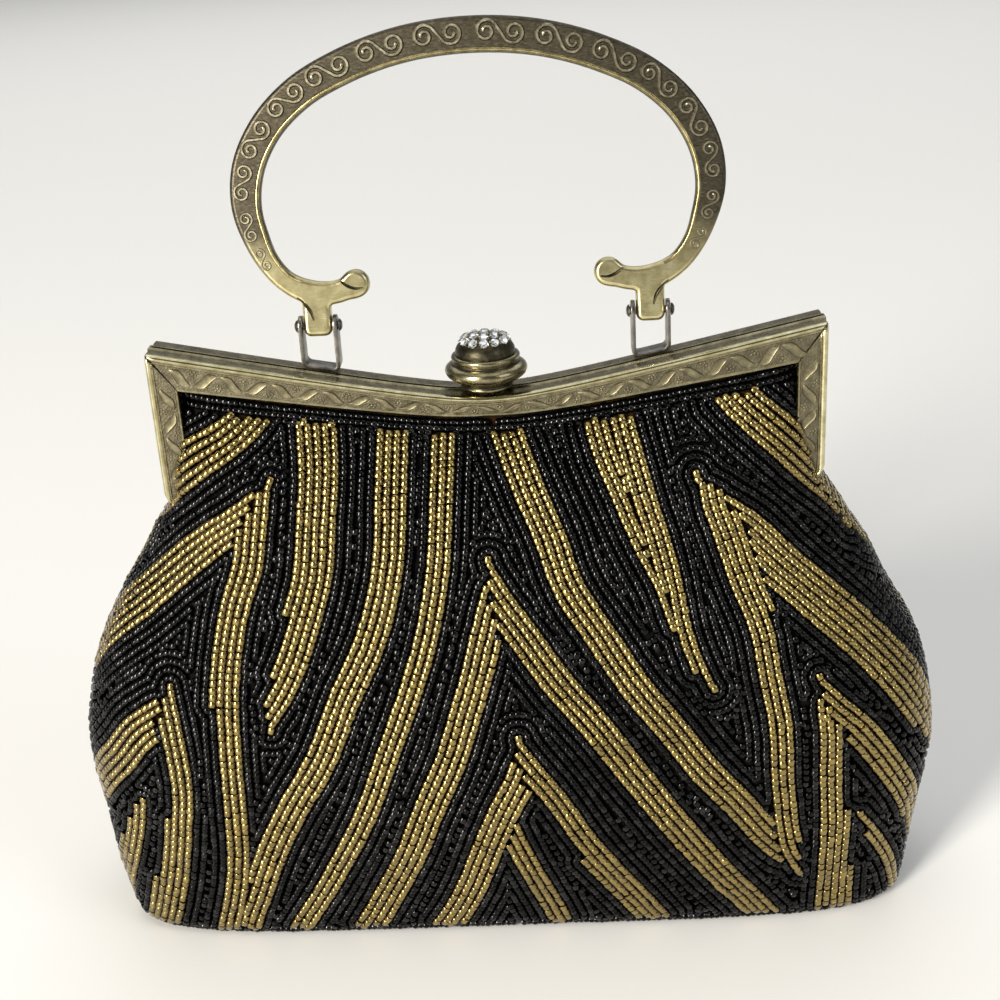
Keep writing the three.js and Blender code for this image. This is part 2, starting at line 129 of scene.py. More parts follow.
# Share of the leaf's half width, height over the field
LEAF_SECTION = (
    (-1, 0), (-0.8, 0.32), (-0.55, 0.14), (0, 0.22), (0.55, 0.14), (0.8, 0.32), (1, 0), (1, -0.25),
    (-1, -0.25),
)
FLOWER_REACH = 1.15
FLOWER_MARGIN = 0.1
PETALS = 5
PETAL_REACH = 0.92
# Radius and height of the dots, and a dot's rings as shares of them
HEART_DOT = (0.38, 0.3)
PETAL_DOT = (0.34, 0.28)
DOT_RINGS = ((1, -0.1), (0.75, 0.65))

# Pouch: height, share of the rise to the frame's edge, half width, half depth, squareness of the section
POUCH_LEVELS = (
    (0, 0, 111, 31.5, 5),
    (2.5, 0, 113.5, 33.3, 5),
    (10, 0, 115.5, 35, 4.6),
    (22, 0, 117.5, 36.8, 4.2),
    (37, 0, 120, 38, 3.8),
    (50, 0, 121.8, 38.2, 3.5),
    (62, 0, 121.6, 37.4, 3.3),
    (76, 0, 118.3, 35.6, 3.1),
    (90, 0, 112.2, 33, 2.9),
    (104, 0, 104.8, 29.6, 2.7),
    (114, 0, 99, 26.8, 2.5),
    (119.5, 0, 95.7, 25, 2.5),
    (123.3, 0, 92.5, 23.6, 2.6),
    (125, 0, 91, 22.8, 2.7),
    (127.4, 0, 88.8, 22, 2.85),
    (127.4, 0.3, 86.4, 18.8, 3.1),
    (127.4, 0.6, 84.6, 14.2, 3.3),
    (127.4, 0.82, 83.6, 10.2, 3.6),
    (127.4, 0.94, 83.2, 7.2, 4),
    (127.4, 1, 83.2, 5, 8),
)
# How much each column counts in the spacing of the levels
LEVEL_WEIGHTS = (1, 22, 1, 1, 0)
TUCK_Z = 127.4
SKIN_LEVELS = 170
SKIN_QUARTER = 140
QUARTER_STEPS = 400

# Shallow waves of the hanging cloth: length, angle in radians, height, and where they fade out
WAVES = ((46, 0.4, 0.34), (33, 2.1, 0.24), (71, 1.2, 0.45), (24, 2.7, 0.12))
WAVE_FADE_BASE = 30
WAVE_FADE_TOP = 35

# Ground cloth under the beads, with every third level and every fourth point of a ring
CLOTH_INSET = 1.9
CLOTH_THICKNESS = 0.8
CLOTH_LEVEL_STEP = 3
CLOTH_RING_STEP = 4
CLOTH_LOWEST = 0.9
CLOTH_BASE_SHRINK = (0.985, 0.93, 0)
CLOTH_BASE_Z = 0.2
CLOTH_COLLAR_SHRINK = (1, 0.9, 1)
CLOTH_COLLAR_RISE = 4.5

# Beads: spacing of the strings, pitch along them, and for each kind its rings as shares of the length and
# the radius, its radius and its length
STRING_SPACING = 2.3
BLACK_PITCH = 1.5
GOLD_PITCH = 1.95
BEAD_KINDS = {
    "black": (((-0.5, 0.76), (0, 1), (0.5, 0.76)), 1.18, 1.44),
    "gold": (((-0.5, 0.86), (-0.34, 1), (0.34, 1), (0.5, 0.86)), 1.25, 1.92),
}
BEAD_MATERIALS = {"black": ["black", "bright"], "gold": ["gold"]}
BEAD_DEPTH = 1.1
BRIGHT_SHARE = 0.3
# Section of a bead as degrees from its crown, and the angle up to which it is shaded smooth
BEAD_SECTION = (-108, -66, -26, 26, 66, 108)
BEAD_SMOOTH = 58
# Share of the turn from the crown, the rest being the ring's width, in the gold beads' colour, which is a
# painted highlight at the crown, partly the silvered bore, and painted shade at the sides and narrow ends
PAINTED_LIGHT_TURN = 0.75
# Spread of the beads' directions in radians, of their places, and of their size
BEAD_SWAY = 0.07
BEAD_TILT = 0.09
BEAD_SHIFT = 0.05
BEAD_LIFT = 0.06
BEAD_SWELL = 0.035

# Strings, in shares of the pitch: the shortest one, the range of the first bead and the reach of a direction
SHORTEST_STRING = 0.8
FIRST_BEAD = (0.2, 0.6)
BEAD_AHEAD = 0.4
# Rows of black beads under the frame, room of a bead, size of a search cell, and how far from the next bead a
# place counts as bare
FRAME_ROWS = 2
CLEARANCE = 1.72
CELL = 2.0
BARE_SPOT = 1.45
BARE_GOLD = 1.62
GOLD_INSIDE = 0.5
EDGE_SLACK = 0.6

# Gold stripes: step between stations, slack in the number of strings, change of width that adds or takes a
# string, reach of a stripe from its middle, and margin round it
STATION_STEP = 3
STRIPE_SLACK = 0.4
STRING_CHANGE = 0.75
STRIPE_REACH = 90
STRIPE_MARGIN = 2

# Gold stripes on the pouch's front, each as stations of distance across from the front's middle,
# distance up from the base along the cloth, and half width. The strings of a stripe are laid from its
# outer edge, which lies on the left of the way that the stations take.
STRIPES = (
    ((-59, 170, 5.2), (-64, 163.5, 5.2), (-80, 152, 5.2), (-92, 143, 5.2), (-101, 135, 4.5),
     (-114, 124, 0)),
    ((-59, 144.5, 0.8), (-63, 134, 3.2), (-66, 121, 4.2), (-70.4, 108, 4), (-72.8, 96, 3.7),
     (-74.4, 82, 3.6), (-74.6, 64, 3), (-75.4, 48, 3.4), (-77, 32, 3.8), (-80, 16, 3.6), (-82.6, 6, 3.2),
     (-84, 0, 3.2)),
    ((-142, 73, 0), (-128, 86, 4.5), (-117, 96, 5.3), (-103, 108, 5.4), (-87, 122, 5.4), (-73, 133, 4.8),
     (-65, 140, 2.6), (-59, 145, 0.8)),
    ((-45.4, 162, 5.2), (-44.6, 146, 4.9), (-46.2, 130, 5), (-48, 116, 5), (-51.8, 102, 4.6),
     (-55.4, 90, 3.7), (-59.4, 80, 2.4), (-62.4, 73, 0.6)),
    ((-24.8, 158, 4.2), (-25.8, 136, 4), (-27.8, 116, 4.1), (-34, 96, 4.3), (-42, 80, 4.3), (-49, 64, 4.3),
     (-59, 48, 4.6), (-67.4, 32, 4.8), (-73, 16, 4), (-76.6, 6, 3.6), (-78, 0, 3.6)),
    ((-11.4, 157, 3.1), (-12.6, 136, 3.1), (-14.6, 116, 3.4), (-19.4, 96, 3.6), (-25, 80, 3.6),
     (-31.4, 64, 3.5), (-38, 48, 3.6), (-46, 32, 3.6), (-54.8, 16, 3.6), (-60.8, 6, 3.5), (-64, 0, 3.5)),
    ((-0.6, 115.5, 0.8), (2, 108, 2.2), (7.2, 96, 4.5), (16, 82, 4.6), (26.4, 68, 4.7), (35.6, 54, 4.7),
     (46.4, 38, 4.8), (56, 24, 4.8), (66.6, 10, 4.9), (73.5, 0, 4.9)),
    ((-45, 0, 3.7), (-41.4, 6, 3.7), (-36, 16, 3.8), (-27.8, 32, 4), (-22, 46, 4.1), (-14.8, 62, 3.9),
     (-10.2, 76, 3.7), (-6.4, 88, 3.6), (-3.6, 98, 3.5), (-2.2, 108, 1.8), (-1, 114.5, 0.7)),
    ((80.2, 20.5, 0.9), (78.4, 27, 2.4), (77.2, 34, 2.8), (76.4, 42, 2.9), (75.4, 52, 2.9), (74.6, 68, 2.8),
     (72.2, 82, 2.9), (70.4, 96, 3.4), (66.6, 110, 4.1), (62.4, 124, 4), (58, 134, 2.6), (55.5, 139.5, 0.8)),
    ((79.5, 21, 0.8), (75.2, 27, 2.8), (71, 33, 3.8), (63.4, 44, 4.2), (53.4, 56, 4.1), (45, 68, 4),
     (35, 82, 4.1), (26.8, 96, 4.2), (18.8, 110, 4.3), (15, 122, 4.2), (9.6, 136, 4.2),
     (4.8, 150, 4), (3, 156, 4)),
    ((34.6, 162, 3.5), (35.5, 156, 3.5), (37.7, 146, 3.5), (41, 134, 3.2), (44.6, 122, 3),
     (47.8, 110, 2.3), (50.7, 96, 1.7), (53.6, 88, 1.2), (57, 81, 0.6)),
    ((56.2, 82, 0.6), (52.1, 88, 1.1), (48.1, 96, 1.6), (44, 110, 2.3), (39.2, 122, 3),
     (35, 134, 3.3), (30.6, 146, 3.5), (28.3, 156, 3.5), (27.4, 162, 3.5)),
    ((54.5, 141.5, 0.8), (58.5, 136.5, 2.4), (67, 128, 4.6), (78, 114, 6.3), (90, 101, 6.6), (103, 87, 6.6),
     (115, 72, 6.3), (124, 61, 5.5), (140, 42, 0)),
    ((61, 172, 5.4), (67, 164, 5.4), (80, 151, 5.4), (90, 141, 5.4), (100, 131, 5.2), (110, 120, 4),
     (122, 107, 0)),
    ((87, 79.5, 0.8), (91, 73, 2.4), (98, 64, 3.8), (108, 50.4, 3.9), (117, 36, 3.7), (121, 27, 3),
     (131, 11, 0)),
    ((91.6, 0, 5.4), (91.6, 8, 5.4), (91, 22, 4.5), (90.4, 36, 3.5), (89.6, 50, 3.2), (88.8, 64, 2.9),
     (87, 73, 1.9), (86.8, 78.5, 0.8)),
    ((99.6, 36, 0.7), (104, 28, 1.8), (109, 18, 2.4), (112.4, 9, 2.1), (115.5, 0, 1.4)),
    ((-90.6, 84.5, 0.8), (-90.8, 76, 2.4), (-90.8, 66, 3.5), (-90.2, 54, 3.3), (-92.6, 40, 3.7),
     (-97, 24, 4.6), (-103, 6, 5), (-105, 0, 5)),
    ((-138, 32, 0), (-125, 47, 4.6), (-118, 54, 5.3), (-110, 62, 5), (-102, 71, 4.8), (-95, 78, 3),
     (-91.4, 83, 0.8)),
    ((-103.4, 48, 0.7), (-107, 40, 2.5), (-112, 29, 3.8), (-117, 18, 4), (-122, 7, 3), (-125, 0, 2)),
    ((4.4, 66.5, 0.8), (7, 60, 2.3), (14.2, 48, 3.1), (20.6, 36, 3.4), (29.2, 22, 3.8), (38, 8, 4.1),
     (43, 0, 4.1)),
    ((-22, 0, 3.9), (-18.2, 6, 3.9), (-12, 18, 4), (-6.6, 32, 4.1), (-1.8, 44, 4), (3.2, 56, 3.2),
     (4, 64.5, 0.8)),
    ((2, 42, 0.8), (3.6, 32, 2.6), (7.6, 20, 3.3), (12.6, 6, 3.5), (14.5, 0, 3.5)),
)

# Handle in its own leaning plane: distance from the middle, height over the pins, half width
HANDLE_LEAN = math.radians(10)
HANDLE_THICKNESS = 4.2
HANDLE_RIM = 1.35
HANDLE_LINE = (
    (0, 72.6, 4.6), (19.5, 70.6, 4.55), (33.6, 66.2, 4.5), (45.5, 60.1, 4.4), (54.6, 51.5, 4.3),
    (60, 41, 4.2), (60.9, 31, 3.85), (59.2, 24, 3.45), (56.6, 17.8, 2.95), (52.1, 12.2, 2.8),
    (45.5, 8.9, 3.2), (39, 8.7, 3.05), (35.5, 9.6, 3),
)
# Curled end: distance from the middle, height, radius
CURL = (33.6, 10.7, 3.8)
CURL_FILLET = 1.0
LUG_X = 44.4
LUG_HALF = 3.8
LUG_BOTTOM = -2.8
LUG_TOP = 9.0
LUG_ROUND = 2.0
LUG_FILLET = 0.5
# Grid in which the outline is found, stations of the band in it and step of the outline's points
OUTLINE_HALF = 70
OUTLINE_LOW = -6
OUTLINE_HIGH = 80
OUTLINE_GRID = 0.45
OUTLINE_STATIONS = 240
OUTLINE_STEP = 0.8
SAME_PLACE = 0.1
# Creases beside the lugs and on the curls, each with its radius, and how they taper towards their ends
CREASES = (
    (((49.4, 7.8), (47.6, 6.2), (46, 4.2), (45.2, 1.6)), 0.5),
    (((37.6, 11.8), (35.8, 10.4), (33.4, 9.5), (31.4, 9.7)), 0.42),
)
CREASE_STATIONS = 16
CREASE_TAPER = (0.5, math.pi - 0.25)
CREASE_POWER = 0.7

# Scrolls on the handle's front: distance along the band and distance between the two eyes
SCROLLS = (
    (8, 7.1), (23.2, 7.1), (37.9, 6.9), (50.9, 6.3), (63.6, 6.1), (75.1, 5.3), (86.5, 4.4), (95.5, 3.5),
)
RELIEF_STATIONS = 600
SCROLL_STATIONS = 34
SCROLL_RADIUS = 0.42
SCROLL_EYE = 0.22
SCROLL_TURNS = 1.5
SCROLL_LEAVE = 0.35
SCROLL_RIDGE = 0.078
SCROLL_OUT = 0.5
SCROLL_TIP = (0.5, 0.75, 0.9, 1)
# Moulding along the inner edge: reach along the band, and section as distance from the edge and height
MOULDING_REACH = 108
MOULDING_STEP = 3
MOULDING_SECTION = ((0.2, -0.6), (0.4, 0.02), (0.65, 0.18), (0.95, 0.18), (1.2, 0.02), (1.4, -0.6))

# Links, pins and rivets. A pin's head is rows of distance past the link and radius, and a rivet's end rows of
# distance in from the end and share of the radius.
LINK_WIDTH = 10.4
LINK_DEPTH = 5.6
LINK_STRIP = 1.1
LINK_BEND = 1.6
LINK_BEND_STATIONS = 7
LINK_SEAT = 0.2
LINK_TOP_BAND = 0.2
LINK_ROUND = 0.1
LINK_EDGE = 0.16
PIN_PLAY = 0.3
PIN_HEAD = ((0.95, 0), (0.85, 0.9), (0.5, 1.5), (0.1, 1.7), (0, 1.6), (0, 1))
RIVET_END = ((0, 0), (0, 0.8), (0.3, 1))

# Knob and dome: radius and height over the frame's dip, and the heights between which the knob is darkened as
# painted shade in its grooves
KNOB_PROFILE = (
    (0, 0.8), (3.5, 0.85), (6.7, 0.95), (7.2, 1.5), (7, 2.3), (7.4, 2.9), (9.3, 3.8), (10.7, 4.9), (11.1, 6),
    (10.7, 7), (9.8, 7.6), (9.1, 7.9), (8.9, 8.3), (9.1, 8.9), (9.25, 9.5), (9, 10), (8.5, 10.2), (0, 9.8),
)
KNOB_STATIONS = 54
KNOB_GROOVES = ((7.7, 8.6), (1.9, 2.8))
KNOB_GROOVE_RADIUS = 9.4
DOME_PROFILE = (
    (0, 9.9), (8, 10.1), (8.05, 11), (7.75, 12.1), (7, 13.1), (5.75, 14), (4.2, 14.65), (2.2, 15.1),
    (0, 15.3),
)
DOME_STATIONS = 26

# Stones: rings of number, radius, height over the dip and lean in degrees. The cut, the foil's cup and the
# prongs are rows of radius, height over the seat and twist in radians.
STONE_RINGS = ((12, 5.7, 14.03, 31), (6, 3, 14.93, 13), (1, 0, 15.3, 0))
STONE_CUT = ((1.14, 0.24, 0), (1.28, 0.5, 0), (1.02, 0.86, 0.3927), (0.68, 1.08, 0))
FOIL_CUP = ((1.2, 0.2, 0), (1.2, -0.1, 0))
FOIL_MIDDLE = 0.06
PRONG_RING = (1.33, 0.3, 0.39)
PRONG_RADIUS = 0.27
BALL_WIDE = 0.87

# Camera at the photo's viewing angle: place in metres, turns in degrees, lens and sensor in millimetres
CAMERA_PLACE = (0.017, -0.3845, 0.2822)
CAMERA_YAW = -2.29
CAMERA_PITCH = 22.75
CAMERA_ROLL = -3.37
CAMERA_LENS = 54
CAMERA_SENSOR = 36

# Studio: size of the floor in metres, lamps as place and target in metres, power in watts, width and height
# in metres and colour, the ceiling's strength and its width in degrees, and the sky from the horizon up
FLOOR_SIZE = 30
LAMPS = (
    ("window", (-1.73, -2.29, 1.1), (0, 0, 0.09), 170, (0.6, 1.9), "#fff9f0"),
    ("fill", (1.1, -0.7, 1.0), (0, 0, 0.09), 6, (0.8, 0.8), "#f4f7ff"),
    ("back", (0, 2.6, 2.4), (0, 2.7, 0), 50, (4.0, 3.0), "#ffffff"),
)
CEILING_STRENGTH = 0.85
CEILING_ANGLE = 60
SKY = ((0.1, "#b4b4b2"), (0.24, "#8e8e8e"), (0.5, "#5c5e60"))


def linear(colour):
    """An sRGB hex colour as linear RGBA."""
    parts = [int(colour[i:i + 2], 16) / 255 for i in (1, 3, 5)]
    return (*[c / 12.92 if c <= 0.04045 else ((c + 0.055) / 1.055) ** 2.4 for c in parts], 1.0)


def add_node(tree, kind, inputs=None, out=0, stops=(), **settings):
    """Adds a node with its settings, links and colour stops, and gives the output that is asked for."""
    node = tree.nodes.new("ShaderNode" + kind)
    for name, value in settings.items():
        setattr(node, name, value)
    for name, value in (inputs or {}).items():
        if isinstance(value, bpy.types.NodeSocket):
            tree.links.new(value, node.inputs[name])
        else:
            node.inputs[name].default_value = value
    for k, (at, colour) in enumerate(stops):
        elements = node.color_ramp.elements
        element = elements[k] if k < 2 else elements.new(at)
        element.position = at
        element.color = linear(colour)
    return node.outputs[out] if len(node.outputs) else None


# Materials

def new_material(name):
    """A material with an empty tree of nodes."""
    material = bpy.data.materials.new(name)
    material.use_nodes = True
    material.node_tree.nodes.clear()
    return material, material.node_tree


def fire_polished_glass(name, gloss):
    """Opaque black glass of the seed beads, cut from cane and fire-polished.

    The eye sees near black with one small sharp dot of light on each bead. Some beads are glossier.
    """
    material, tree = new_material(name)
    tone = add_node(tree, "Attribute", out="Fac", attribute_name="tone")
    colour = add_node(tree, "ValToRGB", {"Fac": tone}, stops=((0, "#010101"), (1, "#050505")))
    rough = add_node(tree, "MapRange", {"Value": tone, "To Min": 0.04, "To Max": 0.1})
    shader = add_node(tree, "BsdfPrincipled", {
        "Base Color": colour, "Roughness": rough, "Specular IOR Level": gloss})
    add_node(tree, "OutputMaterial", {"Surface": shader})
    return material


def silver_lined_glass():
    """Amber glass of the gold seed beads with a silvered bore.

    The eye sees a bright crown that turns brown at the sides, under the clear gloss of the glass, and
    beads that differ a little in depth of colour. The bright crown is partly the silvered bore and partly a
    painted highlight; the darker sides and narrow ends are painted shade.
    """
    material, tree = new_material("silver_lined_amber_glass")
    crown = add_node(tree, "Attribute", out="Fac", attribute_name="crown")
    tone = add_node(tree, "Attribute", out="Fac", attribute_name="tone")
    # Painted highlight at the crown and painted shade at the sides and ends, read from the bead's section
    colour = add_node(tree, "ValToRGB", {"Fac": crown}, stops=(
        (0, "#1a1103"), (0.3, "#2a1d07"), (0.57, "#4c3b0f"), (0.8, "#745f25"), (0.93, "#94803e")))
    depth = add_node(tree, "MapRange", {"Value": tone, "To Min": 0.72, "To Max": 1.12})
    shade = add_node(tree, "HueSaturation", {"Color": colour, "Value": depth})
    shader = add_node(tree, "BsdfPrincipled", {
        "Base Color": shade, "Metallic": 1.0, "Roughness": 0.24, "Coat Weight": 1.0, "Coat Roughness": 0.08})
    add_node(tree, "OutputMaterial", {"Surface": shader})
    return material


def woven_cotton():
    """Black cotton ground cloth in a plain weave, seen only between the beads.

    The eye sees matt black, and brown between the gold beads, which is painted light reflected from them.
    The threads lie 0.4 mm apart.
    """
    material, tree = new_material("woven_black_cotton")
    place = add_node(tree, "TexCoord", out="Object")
    gold_bounce_light = add_node(tree, "Attribute", out="Fac", attribute_name="gold")
    # Brown under the gold beads is painted light reflected from them
    colour = add_node(tree, "ValToRGB", {"Fac": gold_bounce_light}, stops=((0, "#050505"), (1, "#241604")))
    weave = add_node(tree, "TexNoise", {
        "Vector": place, "Scale": 1 / (THREAD_SPACING * MM), "Detail": 4, "Roughness": 0.6})
    bump = add_node(tree, "Bump", {"Height": weave, "Strength": 0.6, "Distance": 0.1 * MM})
    shader = add_node(tree, "BsdfPrincipled", {
        "Base Color": colour, "Roughness": 0.85, "Specular IOR Level": 0.1, "Normal": bump})
    add_node(tree, "OutputMaterial", {"Surface": shader})
    return material


def stippled_brass():
    """Brass pressed in a stippled die and darkened, the ground of the frame's face.

    The eye sees a matt brown field of fine grains, drawn a little coarser than the real grit.
    """
    material, tree = new_material("stippled_pressed_brass")
    place = add_node(tree, "TexCoord", out="Object")
    blotches = add_node(tree, "TexNoise", {
        "Vector": place, "Scale": 1 / (2.5 * MM), "Detail": 6, "Roughness": 0.6})
    colour = add_node(tree, "ValToRGB", {"Fac": blotches}, stops=(
        (0.3, "#4c4737"), (0.55, "#645e4b"), (0.75, "#7b745e")))
    grains = add_node(tree, "TexVoronoi", {"Vector": place, "Scale": 1 / (STIPPLE_SPACING * MM)}, "Distance")
    bump = add_node(tree, "Bump", {"Height": grains, "Strength": 0.7, "Distance": 0.16 * MM})
    shader = add_node(tree, "BsdfPrincipled", {
        "Base Color": colour, "Metallic": 0.85, "Roughness": 0.55, "Normal": bump})
    add_node(tree, "OutputMaterial", {"Surface": shader})
    return material


def patinated_cast_brass():
    """Cast brass of the handle under a brown patina, rubbed through in the lower sweep and the lugs.

    The eye sees dark brown with upright streaks, turning to bright pale brass where the handle is worn.
    """
    material, tree = new_material("patinated_cast_brass")
    place = add_node(tree, "TexCoord", out="Object")
    height = add_node(tree, "SeparateXYZ", {"Vector": place}, "Z")
    dark = add_node(tree, "MapRange", {
        "Value": height, "From Min": (PIN_Z + RUBBED_BELOW) * MM, "From Max": (PIN_Z + PATINA_ABOVE) * MM})
    squeezed = add_node(tree, "Mapping", {"Vector": place, "Scale": (1, 1, 3)})
    streaks = add_node(tree, "TexNoise", {
        "Vector": squeezed, "Scale": 1 / (1.2 * MM), "Detail": 5, "Roughness": 0.65})
    patina = add_node(tree, "ValToRGB", {"Fac": streaks}, stops=(
        (0.3, "#2f2b22"), (0.55, "#4d483b"), (0.8, "#766f5f")))
    clouds = add_node(tree, "TexNoise", {
        "Vector": place, "Scale": 1 / (3 * MM), "Detail": 5, "Roughness": 0.6})
    brass = add_node(tree, "ValToRGB", {"Fac": clouds}, stops=(
        (0.3, "#a79c70"), (0.6, "#cfc596"), (0.8, "#e6ddb8")))
    # The colour sockets of a Mix node are its seventh and eighth inputs and its third output
    colour = add_node(tree, "Mix", {"Factor": dark, 6: brass, 7: patina}, 2, data_type="RGBA")
    polish = add_node(tree, "MapRange", {"Value": dark, "To Min": 0.24, "To Max": 0.42})
    bump = add_node(tree, "Bump", {"Height": streaks, "Strength": 0.4, "Distance": 0.06 * MM})
    shader = add_node(tree, "BsdfPrincipled", {
        "Base Color": colour, "Metallic": 0.95, "Roughness": polish, "Normal": bump})
    add_node(tree, "OutputMaterial", {"Surface": shader})
    return material


def worn_metal(name, tones, blotch, rough, grain=METAL_GRAIN, relief=METAL_RELIEF):
    """Bare metal with blotches of tarnish, an uneven polish and a fine grain."""
    material, tree = new_material(name)
    place = add_node(tree, "TexCoord", out="Object")
    blotches = add_node(tree, "TexNoise", {
        "Vector": place, "Scale": 1 / (blotch * MM), "Detail": 6, "Roughness": 0.68})
    colour = add_node(tree, "ValToRGB", {"Fac": blotches}, stops=tones)
    wear = add_node(tree, "TexNoise", {
        "Vector": place, "Scale": 1 / (blotch * 0.6 * MM), "Detail": 5, "Roughness": 0.7})
    polish = add_node(tree, "MapRange", {
        "Value": wear, "From Min": 0.3, "From Max": 0.7, "To Min": rough[0], "To Max": rough[1]})
    fine = add_node(tree, "TexNoise", {
        "Vector": place, "Scale": 1 / (grain * MM), "Detail": 3, "Roughness": 0.6})
    bump = add_node(tree, "Bump", {"Height": fine, "Strength": 0.5, "Distance": relief * MM})
    shader = add_node(tree, "BsdfPrincipled", {
        "Base Color": colour, "Metallic": 1.0, "Roughness": polish, "Normal": bump})
    add_node(tree, "OutputMaterial", {"Surface": shader})
    return material


def plain_material(name, inputs):
    """A material that is the same all over its surface."""
    material, tree = new_material(name)
    add_node(tree, "OutputMaterial", {"Surface": add_node(tree, "BsdfPrincipled", inputs)})
    return material


MATERIALS = {
    "black": fire_polished_glass("black_bead_glass", 0.17),
    "bright": fire_polished_glass("bright_black_bead_glass", 0.36),
    "gold": silver_lined_glass(),
    "cloth": woven_cotton(),
    "stipple": stippled_brass(),
    "patina": patinated_cast_brass(),
    # Antiqued brass of the pressed frame and the turned knob: satin olive with soft brown blotches
    "brass": worn_metal(
        "antiqued_brass", ((0.3, "#635c42"), (0.5, "#847c60"), (0.72, "#a69f80")), 3.5, (0.2, 0.33)),
    # Brass worn by handling on the handle's inner edge and the prongs, the inner edge's bright line partly a
    # painted
    # highlight: warm and half bright
    "worn": worn_metal(
        "hand_worn_highlight_brass", ((0.3, "#75694a"), (0.5, "#a09468"), (0.72, "#c8bd90")), 2.5, (0.22, 0.36)),
    # Brass along the frame's front edge, polished smooth and made lighter as a painted highlight: a bright
    # line with a smooth gloss
    "edge": worn_metal(
        "polished_brass_painted_highlight", ((0.3, "#968d66"), (0.5, "#b9b18a"), (0.72, "#d8d1ae")), 4, (0.12, 0.2),
        0.6, 0.006),
    # Die-struck brass of the leaves and dots on the frame's face: matt, a shade lighter than their ground
    "struck": worn_metal(
        "die_struck_brass", ((0.3, "#5f5843"), (0.5, "#787159"), (0.72, "#959075")), 2.5, (0.42, 0.58)),
    # Cast scrolls of the handle, their patina rubbed off on top and lighter still as a painted highlight:
    # pale lines on the brown band
    "rubbed": worn_metal(
        "rubbed_highlight_cast_brass", ((0.3, "#6f6955"), (0.5, "#9a937b"), (0.72, "#c4bda5")), 1.5, (0.26, 0.4)),
    # Brass with a full dark patina on the dome, the rivets and in the handle's creases, also laid as painted
    # shade in the knob's grooves and the frame's mitre: near black, spotted olive
    "dark": worn_metal(
        "dark_patina_and_shade_brass", ((0.3, "#25231b"), (0.55, "#444032"), (0.8, "#6a654f")), 1.5, (0.3, 0.5)),
    # Rolled steel strip of the links and drawn wire of the pins, tarnished: a dull grey
    "steel": worn_metal(
        "tarnished_steel", ((0.3, "#4b4842"), (0.55, "#74716a"), (0.8, "#96938b")), 3, (0.25, 0.42)),
    # Clear lead glass of the stones, cut and polished: sharp sparkle from facet to facet
    "glass": plain_material("cut_lead_glass", {
        "Base Color": linear("#fbfdff"), "Roughness": 0.02, "Transmission Weight": 1.0, "IOR": 1.62}),
    # Silver foil behind the stones, pressed into their cups: a soft white glow through the glass
    "foil": plain_material("silver_foil", {
        "Base Color": linear("#fbfcfd"), "Metallic": 1.0, "Roughness": 0.35}),
    # Pale matt floor that the bag stands on
    "floor": plain_material("matt_pale_floor", {"Base Color": linear("#e7e6e2"), "Roughness": 0.6}),
}


# Meshes

def pick_only(piece):
    """Makes a piece the only selected one."""
    bpy.ops.object.select_all(action="DESELECT")
    piece.select_set(True)
    bpy.context.view_layer.objects.active = piece


def as_piece(name, mesh, materials):
    """An object of the scene with a mesh and its materials."""
    mesh.update(calc_edges=True)
    piece = bpy.data.objects.new(name, mesh)
    bpy.context.scene.collection.objects.link(piece)
    for key in materials:
        mesh.materials.append(MATERIALS[key])
    return piece


def add_piece(name, points, faces, materials, edges=()):
    """A piece from points in millimetres and a list of faces."""
    mesh = bpy.data.meshes.new(name)
    mesh.from_pydata((np.asarray(points, float) * MM).tolist(), edges, faces)
    return as_piece(name, mesh, materials)


def add_quads(name, points, faces, materials):
    """A piece of many quads from arrays, which is quicker than from lists."""
    mesh = bpy.data.meshes.new(name)
    mesh.vertices.add(len(points))
    mesh.vertices.foreach_set("co", (points * MM).astype(np.float32).ravel())
    mesh.loops.add(faces.size)
    mesh.loops.foreach_set("vertex_index", faces.astype(np.int32).ravel())
    mesh.polygons.add(len(faces))
    mesh.polygons.foreach_set("loop_start", np.arange(0, faces.size, 4, dtype=np.int32))
    return as_piece(name, mesh, materials)


def add_values(piece, name, values):
    """A number on each point of a piece, for its material to read."""
    piece.data.attributes.new(name, "FLOAT", "POINT").data.foreach_set("value", values.astype(np.float32))


def run_modifier(piece, kind, **settings):
    """Adds a modifier with its settings and applies it."""
    pick_only(piece)
    modifier = piece.modifiers.new(kind.lower(), kind)
    for name, value in settings.items():
        setattr(modifier, name, value)
    bpy.ops.object.modifier_apply(modifier=modifier.name)


def smooth(piece, degrees):
    """Shades a piece smooth over edges flatter than an angle."""
    pick_only(piece)
    bpy.ops.object.shade_smooth_by_angle(angle=math.radians(degrees))


def edit(piece, mode="VERT"):
    """Opens a piece in edit mode with all of it selected."""
    pick_only(piece)
    bpy.ops.object.mode_set(mode="EDIT")
    bpy.ops.mesh.select_mode(type=mode)
    bpy.ops.mesh.select_all(action="SELECT")


def leave_edit():
    bpy.ops.object.mode_set(mode="OBJECT")


def face_outwards(piece):
    """Turns the faces of a closed piece outwards."""
    edit(piece)
    bpy.ops.mesh.normals_make_consistent(inside=False)
    leave_edit()


def placed(piece, body, nodes):
    """Ties a finished piece to its body and hides the nodes that it stands for."""
    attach(piece, body)
    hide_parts(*nodes)


def swept(sections):
    """Points and faces of a skin through rings of points, with end caps."""
    sections = np.asarray(sections, float)
    count, size = sections.shape[:2]
    faces = []
    for start in range(0, (count - 1) * size, size):
        for k in range(size):
            n = (k + 1) % size
            faces.append((start + k, start + n, start + size + n, start + size + k))
    faces.append(tuple(reversed(range(size))))
    faces.append(tuple(range((count - 1) * size, count * size)))
    return sections.reshape(-1, 3), faces


